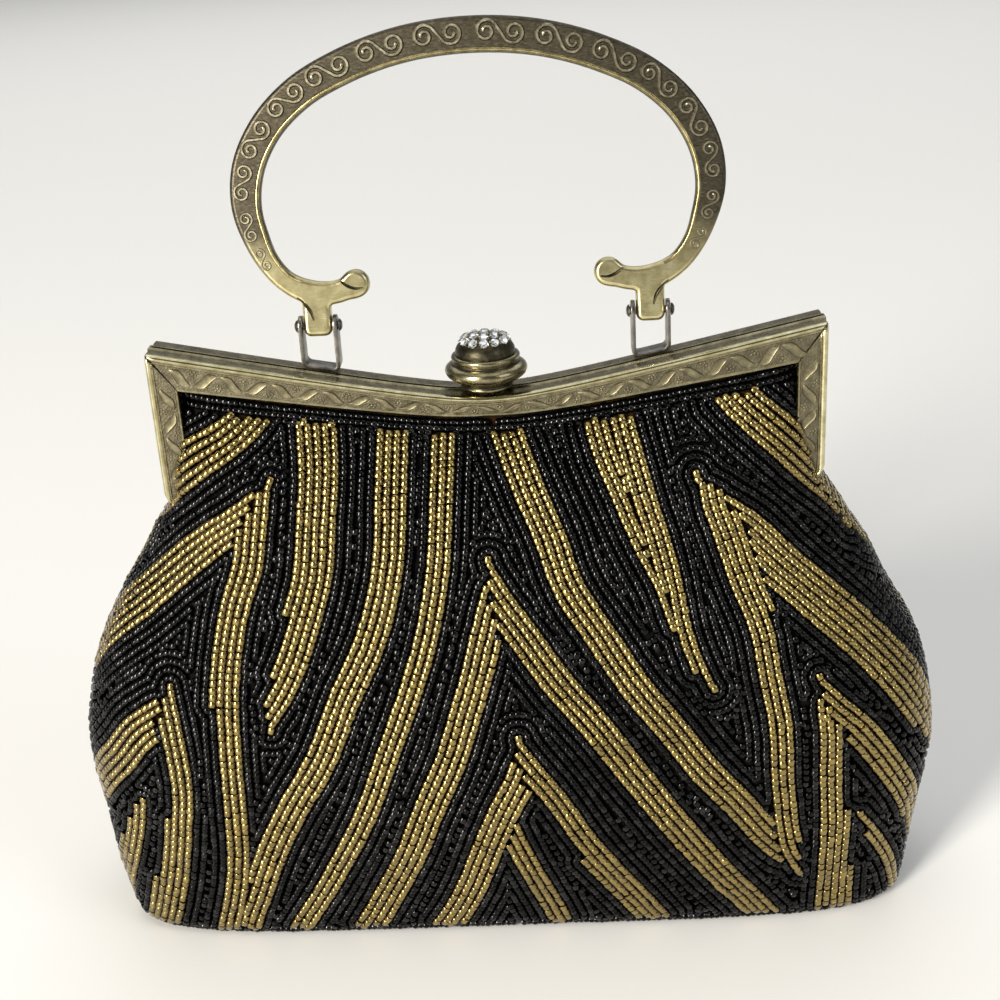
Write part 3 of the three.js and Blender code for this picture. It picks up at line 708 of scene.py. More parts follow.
def gathered(parts):
    """Many points-and-faces pairs as one."""
    points, faces, start = [], [], 0
    for some, loops in parts:
        points.append(np.asarray(some, float))
        faces.extend(tuple(start + i for i in loop) for loop in loops)
        start += len(some)
    return np.concatenate(points), faces


def distances(points):
    """Distance along a line of points, from its start."""
    return np.concatenate([[0], np.cumsum(np.linalg.norm(np.diff(points, axis=0), axis=1))])


def at_distances(want, run, points):
    """Places at wanted distances along a line of points."""
    return np.stack([np.interp(want, run, column) for column in points.T], -1)


def directions(points):
    """Unit direction of a line at each of its points."""
    ahead = np.gradient(points, axis=0)
    return ahead / np.linalg.norm(ahead, axis=1, keepdims=True)


def smooth_table(rows, count, weights=1.0):
    """A short table's rows as smooth curves, at evenly spaced places along them."""
    rows = np.array(rows, float)
    at = distances(rows * weights)
    slope = np.gradient(rows, at, axis=0)
    want = np.linspace(0, at[-1], count)
    k = np.clip(np.searchsorted(at, want, "right") - 1, 0, len(at) - 2)
    span = (at[k + 1] - at[k])[:, None]
    u = (want - at[k])[:, None] / span
    return (rows[k] * (2 * u**3 - 3 * u**2 + 1) + rows[k + 1] * (3 * u**2 - 2 * u**3)
            + slope[k] * span * (u**3 - 2 * u**2 + u) + slope[k + 1] * span * (u**3 - u**2))


def band_distance(x, y, stations):
    """Distance to the edge of a band of changing half width, negative inside it."""
    best = np.full(x.shape, FAR)
    for (ax, ay, ah), (bx, by, bh) in zip(stations[:-1], stations[1:]):
        run = (bx - ax) ** 2 + (by - ay) ** 2 + 1e-9
        u = np.clip(((x - ax) * (bx - ax) + (y - ay) * (by - ay)) / run, 0, 1)
        away = np.hypot(x - ax - u * (bx - ax), y - ay - u * (by - ay))
        best = np.minimum(best, away - ah - u * (bh - ah))
    return best


def contour_chains(values, level, corners):
    """Lines where a value passes a level on a mesh of triangles, each as mesh edges and shares along them."""
    side = values[corners] > level
    cut = side.any(1) & ~side.all(1)
    triangles, side = corners[cut], side[cut]
    edges = np.sort(np.stack([triangles, np.roll(triangles, -1, 1)], 2), axis=2)
    crossing = edges[side != np.roll(side, -1, 1)].reshape(-1, 2, 2)
    keys = crossing[..., 0] * len(values) + crossing[..., 1]
    known, index = np.unique(keys, return_inverse=True)
    ends = np.stack([known // len(values), known % len(values)], 1)
    start, stop = values[ends[:, 0]], values[ends[:, 1]]
    share = (level - start) / (stop - start)
    near = [[] for _ in known]
    for a, b in index.reshape(-1, 2):
        near[a].append(b)
        near[b].append(a)
    seen = np.zeros(len(known), bool)
    chains = []
    for first in sorted(range(len(known)), key=lambda i: len(near[i])):
        if seen[first]:
            continue
        chain, at = [], first
        while at is not None:
            seen[at] = True
            chain.append(at)
            at = next((b for b in near[at] if not seen[b]), None)
        if len(chain) > 2 and first in near[chain[-1]]:
            chain.append(first)
        chains.append((ends[chain], share[chain]))
    return chains


def along_chain(chain, *fields):
    """Fields of the mesh's points read along a chain."""
    ends, share = chain
    out = []
    for field in fields:
        part = share if field.ndim == 1 else share[:, None]
        out.append(field[ends[:, 0]] * (1 - part) + field[ends[:, 1]] * part)
    return out


def grid_triangles(rows, columns, closed):
    """Corners of the triangles of a grid of points, whose rows may close into rings."""
    start = np.arange(rows - 1)[:, None] * columns
    column = np.arange(columns if closed else columns - 1)
    a = (start + column).ravel()
    b = (start + (column + 1) % columns).ravel()
    return np.concatenate([np.stack([a, b, b + columns], 1), np.stack([a, b + columns, a + columns], 1)])


# Pouch

def frame_top(x):
    """Height of the frame's top edge."""
    return DIP_Z + DIP_SLOPE * (np.hypot(x, DIP_ROUND) - DIP_ROUND)


def frame_low(x):
    """Height of the lower edge of the frame's bar, where the pouch goes in."""
    return frame_top(x) - (BAND_MIDDLE + BAND_GAIN * np.abs(x) / ARM_INNER)


def pouch_skin():
    """The pouch's outer shape as a grid of rings, and each point's distance across and up the cloth."""
    rows = smooth_table(POUCH_LEVELS, SKIN_LEVELS, LEVEL_WEIGHTS)
    bend = np.linspace(0, math.pi / 2, QUARTER_STEPS)
    columns = 4 * SKIN_QUARTER
    grid = np.zeros((SKIN_LEVELS, columns, 3))
    across = np.zeros((SKIN_LEVELS, columns))
    quarter = np.zeros((SKIN_LEVELS, 1))
    for i, (z, rise, width, depth, square) in enumerate(rows):
        x = width * np.sin(bend) ** (2 / square)
        y = depth * np.cos(bend) ** (2 / square)
        run = np.concatenate([[0], np.cumsum(np.hypot(np.diff(x), np.diff(y)))])
        want = np.linspace(0, run[-1], SKIN_QUARTER + 1)
        qx = np.interp(want, run, x)
        qy = np.interp(want, run, y)
        grid[i, :, 0] = np.concatenate([qx[:-1], qx[:0:-1], -qx[:-1], -qx[:0:-1]])
        grid[i, :, 1] = np.concatenate([-qy[:-1], qy[:0:-1], qy[:-1], -qy[:0:-1]])
        grid[i, :, 2] = z + min(max(rise, 0), 1) * (frame_low(grid[i, :, 0]) - BAND_SEAT - TUCK_Z)
        turn = np.arange(columns) * run[-1] / SKIN_QUARTER
        across[i] = np.where(turn > 2 * run[-1], turn - 4 * run[-1], turn)
        quarter[i] = run[-1]
    up = np.zeros((SKIN_LEVELS, columns))
    up[1:] = np.cumsum(np.linalg.norm(np.diff(grid, axis=0), axis=2), axis=0)
    return grid, across, up, quarter


def grid_normals(grid):
    """Outward directions at the points of a grid of rings."""
    side = np.roll(grid, -1, 1) - np.roll(grid, 1, 1)
    rise = np.gradient(grid, axis=0)
    normal = np.cross(side, rise)
    return normal / np.linalg.norm(normal, axis=2, keepdims=True)


def sagged(grid, up, to_top):
    """The pouch's shape with the shallow waves of hanging cloth, which fade out at the base and the frame."""
    fade = np.clip(up / WAVE_FADE_BASE, 0, 1) * np.clip(to_top / WAVE_FADE_TOP, 0, 1)
    waves = np.zeros(up.shape)
    for length, angle, height in WAVES:
        phase = random.uniform(0, 2 * math.pi)
        way = grid[..., 0] * math.cos(angle) + up * math.sin(angle)
        waves += height * np.sin(way * 2 * math.pi / length + phase)
    return grid + grid_normals(grid) * (waves * fade)[..., None]


def stripe_stations(stripe):
    """A stripe's middle line as close stations, and how many strings it has at each."""
    length = np.hypot(*np.diff(np.array(stripe)[:, :2], axis=0).T).sum()
    stations = smooth_table(stripe, int(length / STATION_STEP) + 2, (1, 1, 0))
    fit = (2 * stations[:, 2] + STRIPE_SLACK) / STRING_SPACING
    strings = np.zeros(len(fit))
    widest = int(np.argmax(fit))
    for way in (range(widest, len(fit)), range(widest, -1, -1)):
        now = round(fit[widest])
        for i in way:
            if abs(fit[i] - now) > STRING_CHANGE:
                now = max(round(fit[i]), 0)
            strings[i] = now
    return stations, strings


def stripe_offsets(x, y, stations, strings):
    """Distance from a stripe's outer edge, distance out of the stripe and its number of strings there."""
    edge = np.full(x.shape, FAR)
    closest = np.full(x.shape, FAR)
    from_edge = np.full(x.shape, FAR)
    number = np.zeros(x.shape)
    for (ax, ay, ah), (bx, by, bh), n in zip(stations[:-1], stations[1:], strings):
        run = math.hypot(bx - ax, by - ay)
        u = np.clip(((x - ax) * (bx - ax) + (y - ay) * (by - ay)) / run**2, 0, 1)
        away = np.hypot(x - ax - u * (bx - ax), y - ay - u * (by - ay))
        half = ah + u * (bh - ah)
        near = away < closest
        side = np.sign((bx - ax) * (y - ay) - (by - ay) * (x - ax))
        from_edge = np.where(near, half - side * away, from_edge)
        number = np.where(near, n, number)
        closest = np.minimum(closest, away)
        edge = np.minimum(edge, away - half)
    return from_edge, edge, number


def stripe_fields(across, up, quarter):
    """Each stripe's fields on the front and on the back, which repeats the front turned half round."""
    turned = np.where(across > 0, across - 2 * quarter, across + 2 * quarter)
    best = np.full(across.shape, FAR)
    fields = []
    for stripe in STRIPES:
        stations, strings = stripe_stations(stripe)
        for place in (across, turned):
            near = np.abs(place - stations[:, 0].mean()) < STRIPE_REACH
            found = stripe_offsets(place[near], up[near], stations, strings)
            best[near] = np.minimum(best[near], found[1])
            fields.append((near.ravel(), int(strings.max()), *found))
    return best, fields


skin, skin_across, skin_up, skin_quarter = pouch_skin()
to_frame = skin_up[-1] - skin_up
skin = sagged(skin, skin_up, to_frame)
skin_out = grid_normals(skin)
stripes, stripe_lines = stripe_fields(skin_across, skin_up, skin_quarter)


def make_cloth():
    """The ground cloth under the beads, closed at the base."""
    sparse = (slice(None, None, CLOTH_LEVEL_STEP), slice(None, None, CLOTH_RING_STEP))
    inner = skin[sparse] - CLOTH_INSET * skin_out[sparse]
    inner[..., 2] = np.maximum(inner[..., 2], CLOTH_LOWEST)
    base = inner[0] * CLOTH_BASE_SHRINK
    base[:, 2] = CLOTH_BASE_Z
    collar = inner[-1] * CLOTH_COLLAR_SHRINK
    collar[:, 2] += CLOTH_COLLAR_RISE
    points, faces = swept(np.concatenate([base[None], inner, collar[None]]))
    faces.pop()
    piece = add_piece("pouch_cloth", points, faces, ["cloth"])
    # Painted light reflected from the gold beads onto the cloth under them
    gold = np.clip(0.5 - stripes[sparse], 0, 1)
    add_values(piece, "gold", np.concatenate([gold[:1], gold, gold[-1:]]).ravel())
    face_outwards(piece)
    run_modifier(piece, "SOLIDIFY", thickness=CLOTH_THICKNESS * MM, offset=-1)
    smooth(piece, 50)
    placed(piece, "bag", ["bag_body"])


# Beads

class BeadLayer:
    """Beads placed so far on the points of a surface, found quickly by place."""

    def __init__(self, points, outs):
        self.points, self.outs = points, outs
        self.cells = {}
        self.place, self.along, self.out, self.gold = [], [], [], []
        self.string = []
        self.count = 0

    def free(self, place, reach):
        """Whether no bead lies within reach, apart from the last ones of the same string."""
        key = np.floor(place / CELL).astype(int)
        for dx in (-1, 0, 1):
            for dy in (-1, 0, 1):
                for dz in (-1, 0, 1):
                    for i in self.cells.get((key[0] + dx, key[1] + dy, key[2] + dz), ()):
                        if self.string[i] == self.count and i > len(self.place) - 3:
                            continue
                        gap = self.place[i] - place
                        if gap @ gap < reach * reach:
                            return False
        return True

    def add(self, place, along, out, gold):
        key = tuple(np.floor(place / CELL).astype(int))
        self.cells.setdefault(key, []).append(len(self.place))
        self.place.append(place)
        self.along.append(along)
        self.out.append(out)
        self.gold.append(gold)
        self.string.append(self.count)

    def add_string(self, line, outs, allowed, gold):
        """Beads at their pitch along a line of points, where they are allowed and have room."""
        self.count += 1
        pitch = GOLD_PITCH if gold else BLACK_PITCH
        run = distances(line)
        if run[-1] < SHORTEST_STRING * pitch:
            return
        if np.array_equal(line[0], line[-1]):
            pitch = run[-1] / round(run[-1] / pitch)
        spots = np.arange(random.uniform(*FIRST_BEAD) * pitch, run[-1], pitch)
        where = at_distances(spots, run, line)
        ahead = at_distances(spots + BEAD_AHEAD * pitch, run, line)
        behind = at_distances(spots - BEAD_AHEAD * pitch, run, line)
        out = at_distances(spots, run, outs)
        ok = np.interp(spots, run, allowed) > 0
        for i in np.nonzero(ok)[0]:
            if self.free(where[i], CLEARANCE):
                self.add(where[i], ahead[i] - behind[i], out[i], gold)

    def add_contours(self, values, level, corners, allowed, gold):
        """Strings of beads along the lines where a value passes a level."""
        for chain in contour_chains(values, level, corners):
            self.add_string(*along_chain(chain, self.points, self.outs, allowed), gold)


def lay_beads():
    """Strings of beads along the stripes, rows under the frame and along the base, and the gaps filled."""
    corners = grid_triangles(SKIN_LEVELS, 4 * SKIN_QUARTER, True)
    layer = BeadLayer((skin - BEAD_DEPTH * skin_out).reshape(-1, 3), skin_out.reshape(-1, 3))
    top = to_frame.ravel()
    bottom = skin_up.ravel()
    anywhere = np.ones(len(top))
    for row in range(FRAME_ROWS):
        layer.add_contours(top, (row + 0.5) * STRING_SPACING, corners, anywhere, False)
    layer.add_contours(bottom, 0.5 * STRING_SPACING, corners, anywhere, False)
    allowed = np.minimum(top - FRAME_ROWS * STRING_SPACING, bottom - STRING_SPACING)
    for stripe in stripe_lines:
        lay_stripe(layer, corners, allowed, *stripe)
    to_gold = tree_of(layer.place, layer.gold)
    away = np.array([to_gold.find(point)[2] for point in layer.points])
    for step in range(int(away.max() / STRING_SPACING)):
        layer.add_contours(away, (step + 1) * STRING_SPACING, corners, allowed, False)
    fill_bare_spots(layer, stripes.ravel(), allowed)
    return layer


def lay_stripe(layer, corners, allowed, near, most, from_edge, edge, number):
    """The gold strings of one stripe, side by side from its outer edge."""
    whole = np.full(len(allowed), FAR)
    whole[near] = from_edge
    count = np.zeros(len(allowed))
    count[near] = number
    inside = np.zeros(len(allowed), bool)
    inside[near] = edge < STRIPE_MARGIN
    some = corners[inside[corners].all(1)]
    for string in range(most):
        room = np.where(count > string, allowed, -1)
        layer.add_contours(whole, (string + 0.5) * STRING_SPACING, some, room, True)


def tree_of(places, chosen):
    """A search tree of the chosen places."""
    tree = KDTree(sum(chosen))
    for i, place in enumerate(places):
        if chosen[i]:
            tree.insert(place, i)
    tree.balance()
    return tree


def fill_bare_spots(layer, to_stripe, allowed):
    """Short strings along the middle of what the other strings leave bare, then single beads."""
    points, outs = layer.points, layer.outs
    tree = tree_of(layer.place, [True] * len(layer.place))
    found = [tree.find(point)[1:] for point in points]
    away = np.array([distance for index, distance in found]).reshape(skin.shape[:2])
    ridge = (away >= np.roll(away, 1, 1)) & (away >= np.roll(away, -1, 1))
    ridge[1:-1] |= (away[1:-1] >= away[:-2]) & (away[1:-1] >= away[2:])
    in_gold = to_stripe < -GOLD_INSIDE
    bare = (away.ravel() > np.where(in_gold, BARE_GOLD, BARE_SPOT)) & (allowed > -EDGE_SLACK)
    filler = BeadLayer(points, outs)
    for chosen in (bare & ridge.ravel(), bare):
        for i in np.nonzero(chosen)[0]:
            filler.count += 1
            if filler.free(points[i], BLACK_PITCH):
                filler.add(points[i], outs[i], outs[i], False)
                layer.add(points[i], layer.along[found[i][0]], outs[i], bool(in_gold[i]))


def swung(a, b, angle):
    """Two directions swung in their plane."""
    return a * np.cos(angle) + b * np.sin(angle), b * np.cos(angle) - a * np.sin(angle)


def bead_piece(name, chosen, layer, kind):
    """One joined mesh of chosen beads: rings of a D-shaped section along each bead's bore."""
    rings, radius, length = BEAD_KINDS[kind]
    count, sides = len(chosen), len(BEAD_SECTION)
    along = np.array([layer.along[i] for i in chosen])
    out = np.array([layer.out[i] for i in chosen])
    place = np.array([layer.place[i] for i in chosen])
    out /= np.linalg.norm(out, axis=1, keepdims=True)
    along -= out * (along * out).sum(1, keepdims=True)
    along /= np.linalg.norm(along, axis=1, keepdims=True) + 1e-12
    side = np.cross(along, out)
    along, side = swung(along, side, random.normal(0, BEAD_SWAY, (count, 1)))
    along, out = swung(along, out, random.normal(0, BEAD_TILT, (count, 1)))
    place = place + random.normal(0, BEAD_SHIFT, place.shape) + out * random.normal(0, BEAD_LIFT, (count, 1))
    swell = random.normal(1, BEAD_SWELL, (count, 1, 1))
    at = np.repeat([share for share, wide in rings], sides) * length
    wide = np.repeat([wide for share, wide in rings], sides) * radius
    turn = np.tile(np.radians(BEAD_SECTION), len(rings))
    rise = out[:, None] * (wide * np.cos(turn))[:, None]
    over = side[:, None] * (wide * np.sin(turn))[:, None]
    points = place[:, None] + along[:, None] * at[:, None] + swell * (rise + over)
    loops = []
    for start in range(0, len(at) - sides, sides):
        for k in range(sides):
            n = (k + 1) % sides
            loops.append((start + k, start + n, start + sides + n, start + sides + k))
    last = len(at) - sides
    loops += [(3, 2, 1, 0), (5, 4, 3, 0)]
    loops += [(last, last + 1, last + 2, last + 3), (last, last + 3, last + 4, last + 5)]
    faces = np.arange(count)[:, None, None] * len(at) + np.array(loops)
    piece = add_quads(name, points.reshape(-1, 3), faces.reshape(-1, 4), BEAD_MATERIALS[kind])
    tone = random.uniform(0, 1, count)
    add_values(piece, "tone", np.repeat(tone, len(at)))
    if kind == "black":
        bright = (tone > 1 - BRIGHT_SHARE).astype(np.int32)
        piece.data.polygons.foreach_set("material_index", np.repeat(bright, len(loops)))
    # Painted highlight at each gold bead's crown, partly the silvered bore, and painted shade at sides and
    # ends
    crown = np.clip(np.cos(turn) * PAINTED_LIGHT_TURN + (1 - PAINTED_LIGHT_TURN) * (wide / radius), 0, 1)
    add_values(piece, "crown", np.tile(crown, count))
    smooth(piece, BEAD_SMOOTH)
    placed(piece, "bag", ["bag_body"])


def make_beads():
    """The beads in a few joined pieces: black by quarters of the pouch, gold by its front and back."""
    layer = lay_beads()
    place = np.array(layer.place)
    gold = np.array(layer.gold)
    for face, ahead in (("front", place[:, 1] < 0), ("back", place[:, 1] >= 0)):
        for half, aside in (("left", place[:, 0] < 0), ("right", place[:, 0] >= 0)):
            bead_piece(f"black_beads_{face}_{half}", np.nonzero(ahead & aside & ~gold)[0], layer, "black")
        bead_piece(f"gold_beads_{face}", np.nonzero(ahead & gold)[0], layer, "gold")


# Purse frame

def frame_stations():
    """A face's outer and inner edge from the left arm's end to the right one's, with width and recess."""
    right = []
    for x in np.linspace(0, FRAME_HALF - CORNER_START, BAR_STATIONS):
        inside = x * ARM_INNER / FRAME_HALF
        width = BAND_MIDDLE + BAND_GAIN * inside / ARM_INNER
        right.append((x, frame_top(x), inside, frame_low(inside), width, 0))
    corner, inner_z = frame_top(FRAME_HALF), frame_low(ARM_INNER)
    for out_in, out_drop, in_in, in_drop, width, recess in CORNER_STATIONS:
        outer = (FRAME_HALF - out_in, corner - out_drop)
        right.append((*outer, ARM_INNER - in_in, inner_z - in_drop, width, recess))
    for share in np.linspace(ARM_FIRST_SHARE, 1, ARM_STATIONS):
        outer_z = corner + share * (ARM_END_Z - corner)
        right.append((FRAME_HALF, outer_z, ARM_INNER, inner_z + share * (ARM_END_Z - inner_z), ARM_WIDTH, 0))
    middle = (FRAME_HALF + ARM_INNER) / 2
    for turn in np.radians(np.linspace(*ARM_END_TURNS)):
        z = ARM_END_Z - ARM_END_RADIUS * math.sin(turn)
        reach = ARM_END_RADIUS * math.cos(turn)
        right.append((middle + reach, z, middle - reach, z, ARM_WIDTH, 0))
    left = [(-a, b, -c, d, w, r) for a, b, c, d, w, r in right[:0:-1]]
    return np.array(left + right)


def make_frame_half(name, node, flip):
    """One pressed half of the frame: its sheet, the leaves and the dot flowers on its face."""
    stations = frame_stations()
    sections = []
    for ax, az, bx, bz, width, recess in stations:
        ring = []
        for edge, distance, depth in FRAME_SECTION:
            share = distance / width if edge == "outer" else 1 - distance / width
            depth = depth - recess if depth > FACE_DEPTH else depth
            ring.append((ax + share * (bx - ax), -depth, az + share * (bz - az)))
        sections.append(ring)
    points, faces = swept(sections)
    piece = add_piece(name, points * flip, faces, ["brass", "stipple", "dark", "edge"])
    field = FRAME_SECTION.index(("outer", *FIELD_START))
    for polygon in piece.data.polygons:
        station, part = divmod(polygon.index, len(FRAME_SECTION))
        if len(polygon.vertices) > 4:
            continue
        # Painted shade in the mitre's groove
        if stations[station:station + 2, 5].any() and part in MITRE_SHADE_STRIPS:
            polygon.material_index = 2
        elif part == field:
            polygon.material_index = 1
        # Painted highlight along the front edge
        elif part in EDGE_HIGHLIGHT_STRIPS:
            polygon.material_index = 3
    face_outwards(piece)
    smooth(piece, 40)
    placed(piece, "bag", [node])

    points, faces = gathered(face_relief(stations))
    relief = add_piece(name + "_relief", points * flip, faces, ["struck"])
    face_outwards(relief)
    smooth(relief, 50)
    placed(relief, "bag", [node])


def face_relief(stations):
    """Leaves in a wave along the face's field and a flower of dots in each bay of the wave."""
    parts = []
    field_low = FIELD_OUTER / stations[:, 4]
    field_high = 1 - FIELD_INNER / stations[:, 4]
    share = (field_low + field_high) / 2
    middle = stations[:, :2] + share[:, None] * (stations[:, 2:4] - stations[:, :2])
    room = (field_high - field_low) * stations[:, 4]
    run = distances(middle)
    ends = [ARM_END_RADIUS, *run[stations[:, 5] > 0], run[-1] - ARM_END_RADIUS]
    for low, high in zip(ends[:-1], ends[1:]):
        count = int((high - low - 1) / LEAF_PITCH)
        first = (low + high - (count - 1) * LEAF_PITCH) / 2
        for k in range(count):
            sign = 1 if k % 2 else -1
            parts.append(leaf(middle, room, run, first + k * LEAF_PITCH, sign))
            if k < count - 1:
                parts += flower(middle, room, run, first + (k + 0.5) * LEAF_PITCH, sign)
    return parts


def on_band(line, run, at):
    """Place, direction ahead and direction across at a distance along a flat line."""
    ahead = at_distances(at + 1, run, line) - at_distances(at - 1, run, line)
    ahead /= np.hypot(*ahead)
    return at_distances(at, run, line), ahead, np.array((-ahead[1], ahead[0]))


def leaf(middle, room, run, at, sign):
    """A leaf with a raised rim and a bent spine."""
    spot, ahead, up = on_band(middle, run, at)
    squash = min(1, np.interp(at, run, room) / LEAF_ROOM)
    turn = sign * LEAF_TURN
    sections = []
    for u in np.linspace(-1, 1, LEAF_STATIONS):
        half = LEAF_WIDTH / 2 * (1 - abs(u) ** LEAF_TAPER) ** LEAF_BELLY + LEAF_TIP
        ring = []
        for v, height in LEAF_SECTION:
            a = u * LEAF_LENGTH / 2
            b = v * half + sign * LEAF_SWAY * math.sin(math.pi * u)
            along = a * math.cos(turn) - b * math.sin(turn)
            rise = (a * math.sin(turn) + b * math.cos(turn)) * squash
            x, z = spot + along * ahead + rise * up
            lift = height * (1 - u**8) if height > 0 else height
            ring.append((x, -FIELD_START[1] - lift, z))
        sections.append(ring)
    return swept(sections)


def dot(x, z, radius, height):
    """A small six-sided dome on the frame's face."""
    base = FIELD_START[1]
    points = []
    for share, lift in DOT_RINGS:
        points += [(x + radius * share * math.cos(t), -base - height * lift, z + radius * share * math.sin(t))
                   for t in SIXTHS]
    points.append((x, -base - height, z))
    faces = [(k, (k + 1) % 6, 6 + (k + 1) % 6, 6 + k) for k in range(6)]
    faces += [(6 + k, 6 + (k + 1) % 6, 12) for k in range(6)]
    faces.append((5, 4, 3, 2, 1, 0))
    return points, faces


def flower(middle, room, run, at, sign):
    """A dot with five dots round it, near the edge of the field."""
    spot, ahead, up = on_band(middle, run, at)
    space = np.interp(at, run, room)
    squash = min(1, space / LEAF_ROOM)
    heart = spot - sign * up * (space / 2 - FLOWER_REACH * squash - FLOWER_MARGIN)
    parts = [dot(*heart, *HEART_DOT)]
    for k in range(PETALS):
        turn = 2 * math.pi * (k / PETALS) + sign * math.pi / 2
        petal = heart + PETAL_REACH * (math.cos(turn) * ahead + squash * math.sin(turn) * up)
        parts.append(dot(*petal, *PETAL_DOT))
    return parts


# Handle

def handle_matrix():
    """From the handle's own plane, with the pins' axis as X, to the bag."""
    return Matrix.Translation((0, PIN_Y * MM, PIN_Z * MM)) @ Matrix.Rotation(-HANDLE_LEAN, 4, "X")


def handle_path(count):
    """Stations of the handle's middle line from its left end to its right one."""
    left = [(-x, h, half) for x, h, half in HANDLE_LINE[:0:-1]]
    return smooth_table(left + list(HANDLE_LINE), count, (1, 1, 0))


def blended(a, b, reach):
    """Two distance fields run together with a fillet."""
    mix = np.clip(0.5 + 0.5 * (b - a) / reach, 0, 1)
    return b + (a - b) * mix - reach * mix * (1 - mix)


def handle_outline():
    """The handle's outline in its plane: the band, the curls and the lugs run together."""
    xs = np.arange(-OUTLINE_HALF, OUTLINE_HALF + 0.1, OUTLINE_GRID)
    hs = np.arange(OUTLINE_LOW, OUTLINE_HIGH, OUTLINE_GRID)
    x, h = np.meshgrid(xs, hs)
    wide = np.abs(x)
    field = band_distance(x, h, handle_path(OUTLINE_STATIONS))
    field = blended(field, np.hypot(wide - CURL[0], h - CURL[1]) - CURL[2], CURL_FILLET)
    out_x = np.abs(wide - LUG_X) - LUG_HALF + LUG_ROUND
    out_h = np.abs(h - (LUG_TOP + LUG_BOTTOM) / 2) - (LUG_TOP - LUG_BOTTOM) / 2 + LUG_ROUND
    outside = np.hypot(np.maximum(out_x, 0), np.maximum(out_h, 0))
    lug = outside + np.minimum(np.maximum(out_x, out_h), 0) - LUG_ROUND
    field = blended(field, lug, LUG_FILLET)
    corners = grid_triangles(len(hs), len(xs), False)
    chain = max(contour_chains(field.ravel(), 0.0, corners), key=lambda c: len(c[1]))
    line, = along_chain(chain, np.stack([x.ravel(), h.ravel()], 1))
    run = distances(line)
    return at_distances(np.arange(0, run[-1] - OUTLINE_STEP / 2, OUTLINE_STEP), run, line)


def tube(path, radii, lift, sides):
    """A round tube along a path in the handle's plane."""
    path = np.array(path, float)
    ahead = directions(path)
    side = np.stack([-ahead[:, 1], ahead[:, 0]], 1)
    sections = []
    for (x, h), (sx, sh), radius in zip(path, side, radii):
        ring = []
        for k in range(sides):
            turn = 2 * math.pi * k / sides
            over = radius * math.cos(turn)
            ring.append((x + sx * over, lift - radius * math.sin(turn), h + sh * over))
        sections.append(ring)
    return swept(sections)


def crease_tool(front):
    """Tapered tubes that cut the creases beside the curls and the lugs."""
    parts = []
    taper = np.sin(np.linspace(*CREASE_TAPER, CREASE_STATIONS)) ** CREASE_POWER
    for path, radius in CREASES:
        for sign in (-1, 1):
            line = smooth_table([(sign * x, h) for x, h in path], CREASE_STATIONS)
            parts.append(tube(line, radius * taper, front, 8))
    tool = add_piece("crease_tool", *gathered(parts), ["dark"])
    face_outwards(tool)
    return tool


def make_handle():
    """The cast handle with rounded rims and creases, and the raised scrolls and moulding on its front."""
    outline = handle_outline()
    front = -HANDLE_THICKNESS / 2
    points = np.stack([outline[:, 0], np.full(len(outline), front), outline[:, 1]], 1)
    loop = [(i, (i + 1) % len(points)) for i in range(len(points))]
    piece = add_piece("handle_plate", points, [], ["patina", "dark"], loop)
    edit(piece, "EDGE")
    bpy.ops.mesh.edge_face_add()
    bpy.ops.mesh.extrude_region_move(TRANSFORM_OT_translate={"value": (0, HANDLE_THICKNESS * MM, 0)})
    bpy.ops.mesh.select_all(action="SELECT")
    bpy.ops.mesh.normals_make_consistent(inside=False)
    bpy.ops.mesh.select_all(action="DESELECT")
    leave_edit()
    mesh = piece.data
    for edge in mesh.edges:
        a, b = (mesh.vertices[i].co.y for i in edge.vertices)
        edge.select = abs(a - b) < SAME_PLACE * MM
    bpy.ops.object.mode_set(mode="EDIT")
    bpy.ops.mesh.bevel(offset=HANDLE_RIM * MM, segments=5, profile=0.5, affect="EDGES", clamp_overlap=False)
    leave_edit()
    tool = crease_tool(front)
    run_modifier(
        piece, "BOOLEAN", operation="DIFFERENCE", object=tool, solver="EXACT", material_mode="TRANSFER")
    bpy.data.objects.remove(tool)
    smooth(piece, 45)
    run_modifier(piece, "WEIGHTED_NORMAL", keep_sharp=True)
    piece.data.transform(handle_matrix())
    placed(piece, "handle", ["handle"])

    path = handle_path(RELIEF_STATIONS)
    run = distances(path[:, :2])
    run -= run[-1] / 2
    scrolls = scroll_ridges(path, run, front)
    parts = scrolls + [inner_edge(path, run, front)]
    # Scrolls pale as rubbed brass and painted highlight; the moulding's bright line partly a painted
    # highlight
    relief = add_piece("handle_scrolls", *gathered(parts), ["rubbed", "worn"])
    edge_start = sum(len(faces) for points, faces in scrolls)
    for polygon in relief.data.polygons:
        polygon.material_index = int(polygon.index >= edge_start)
    face_outwards(relief)
    smooth(relief, 60)
    relief.data.transform(handle_matrix())
    placed(relief, "handle", ["handle"])


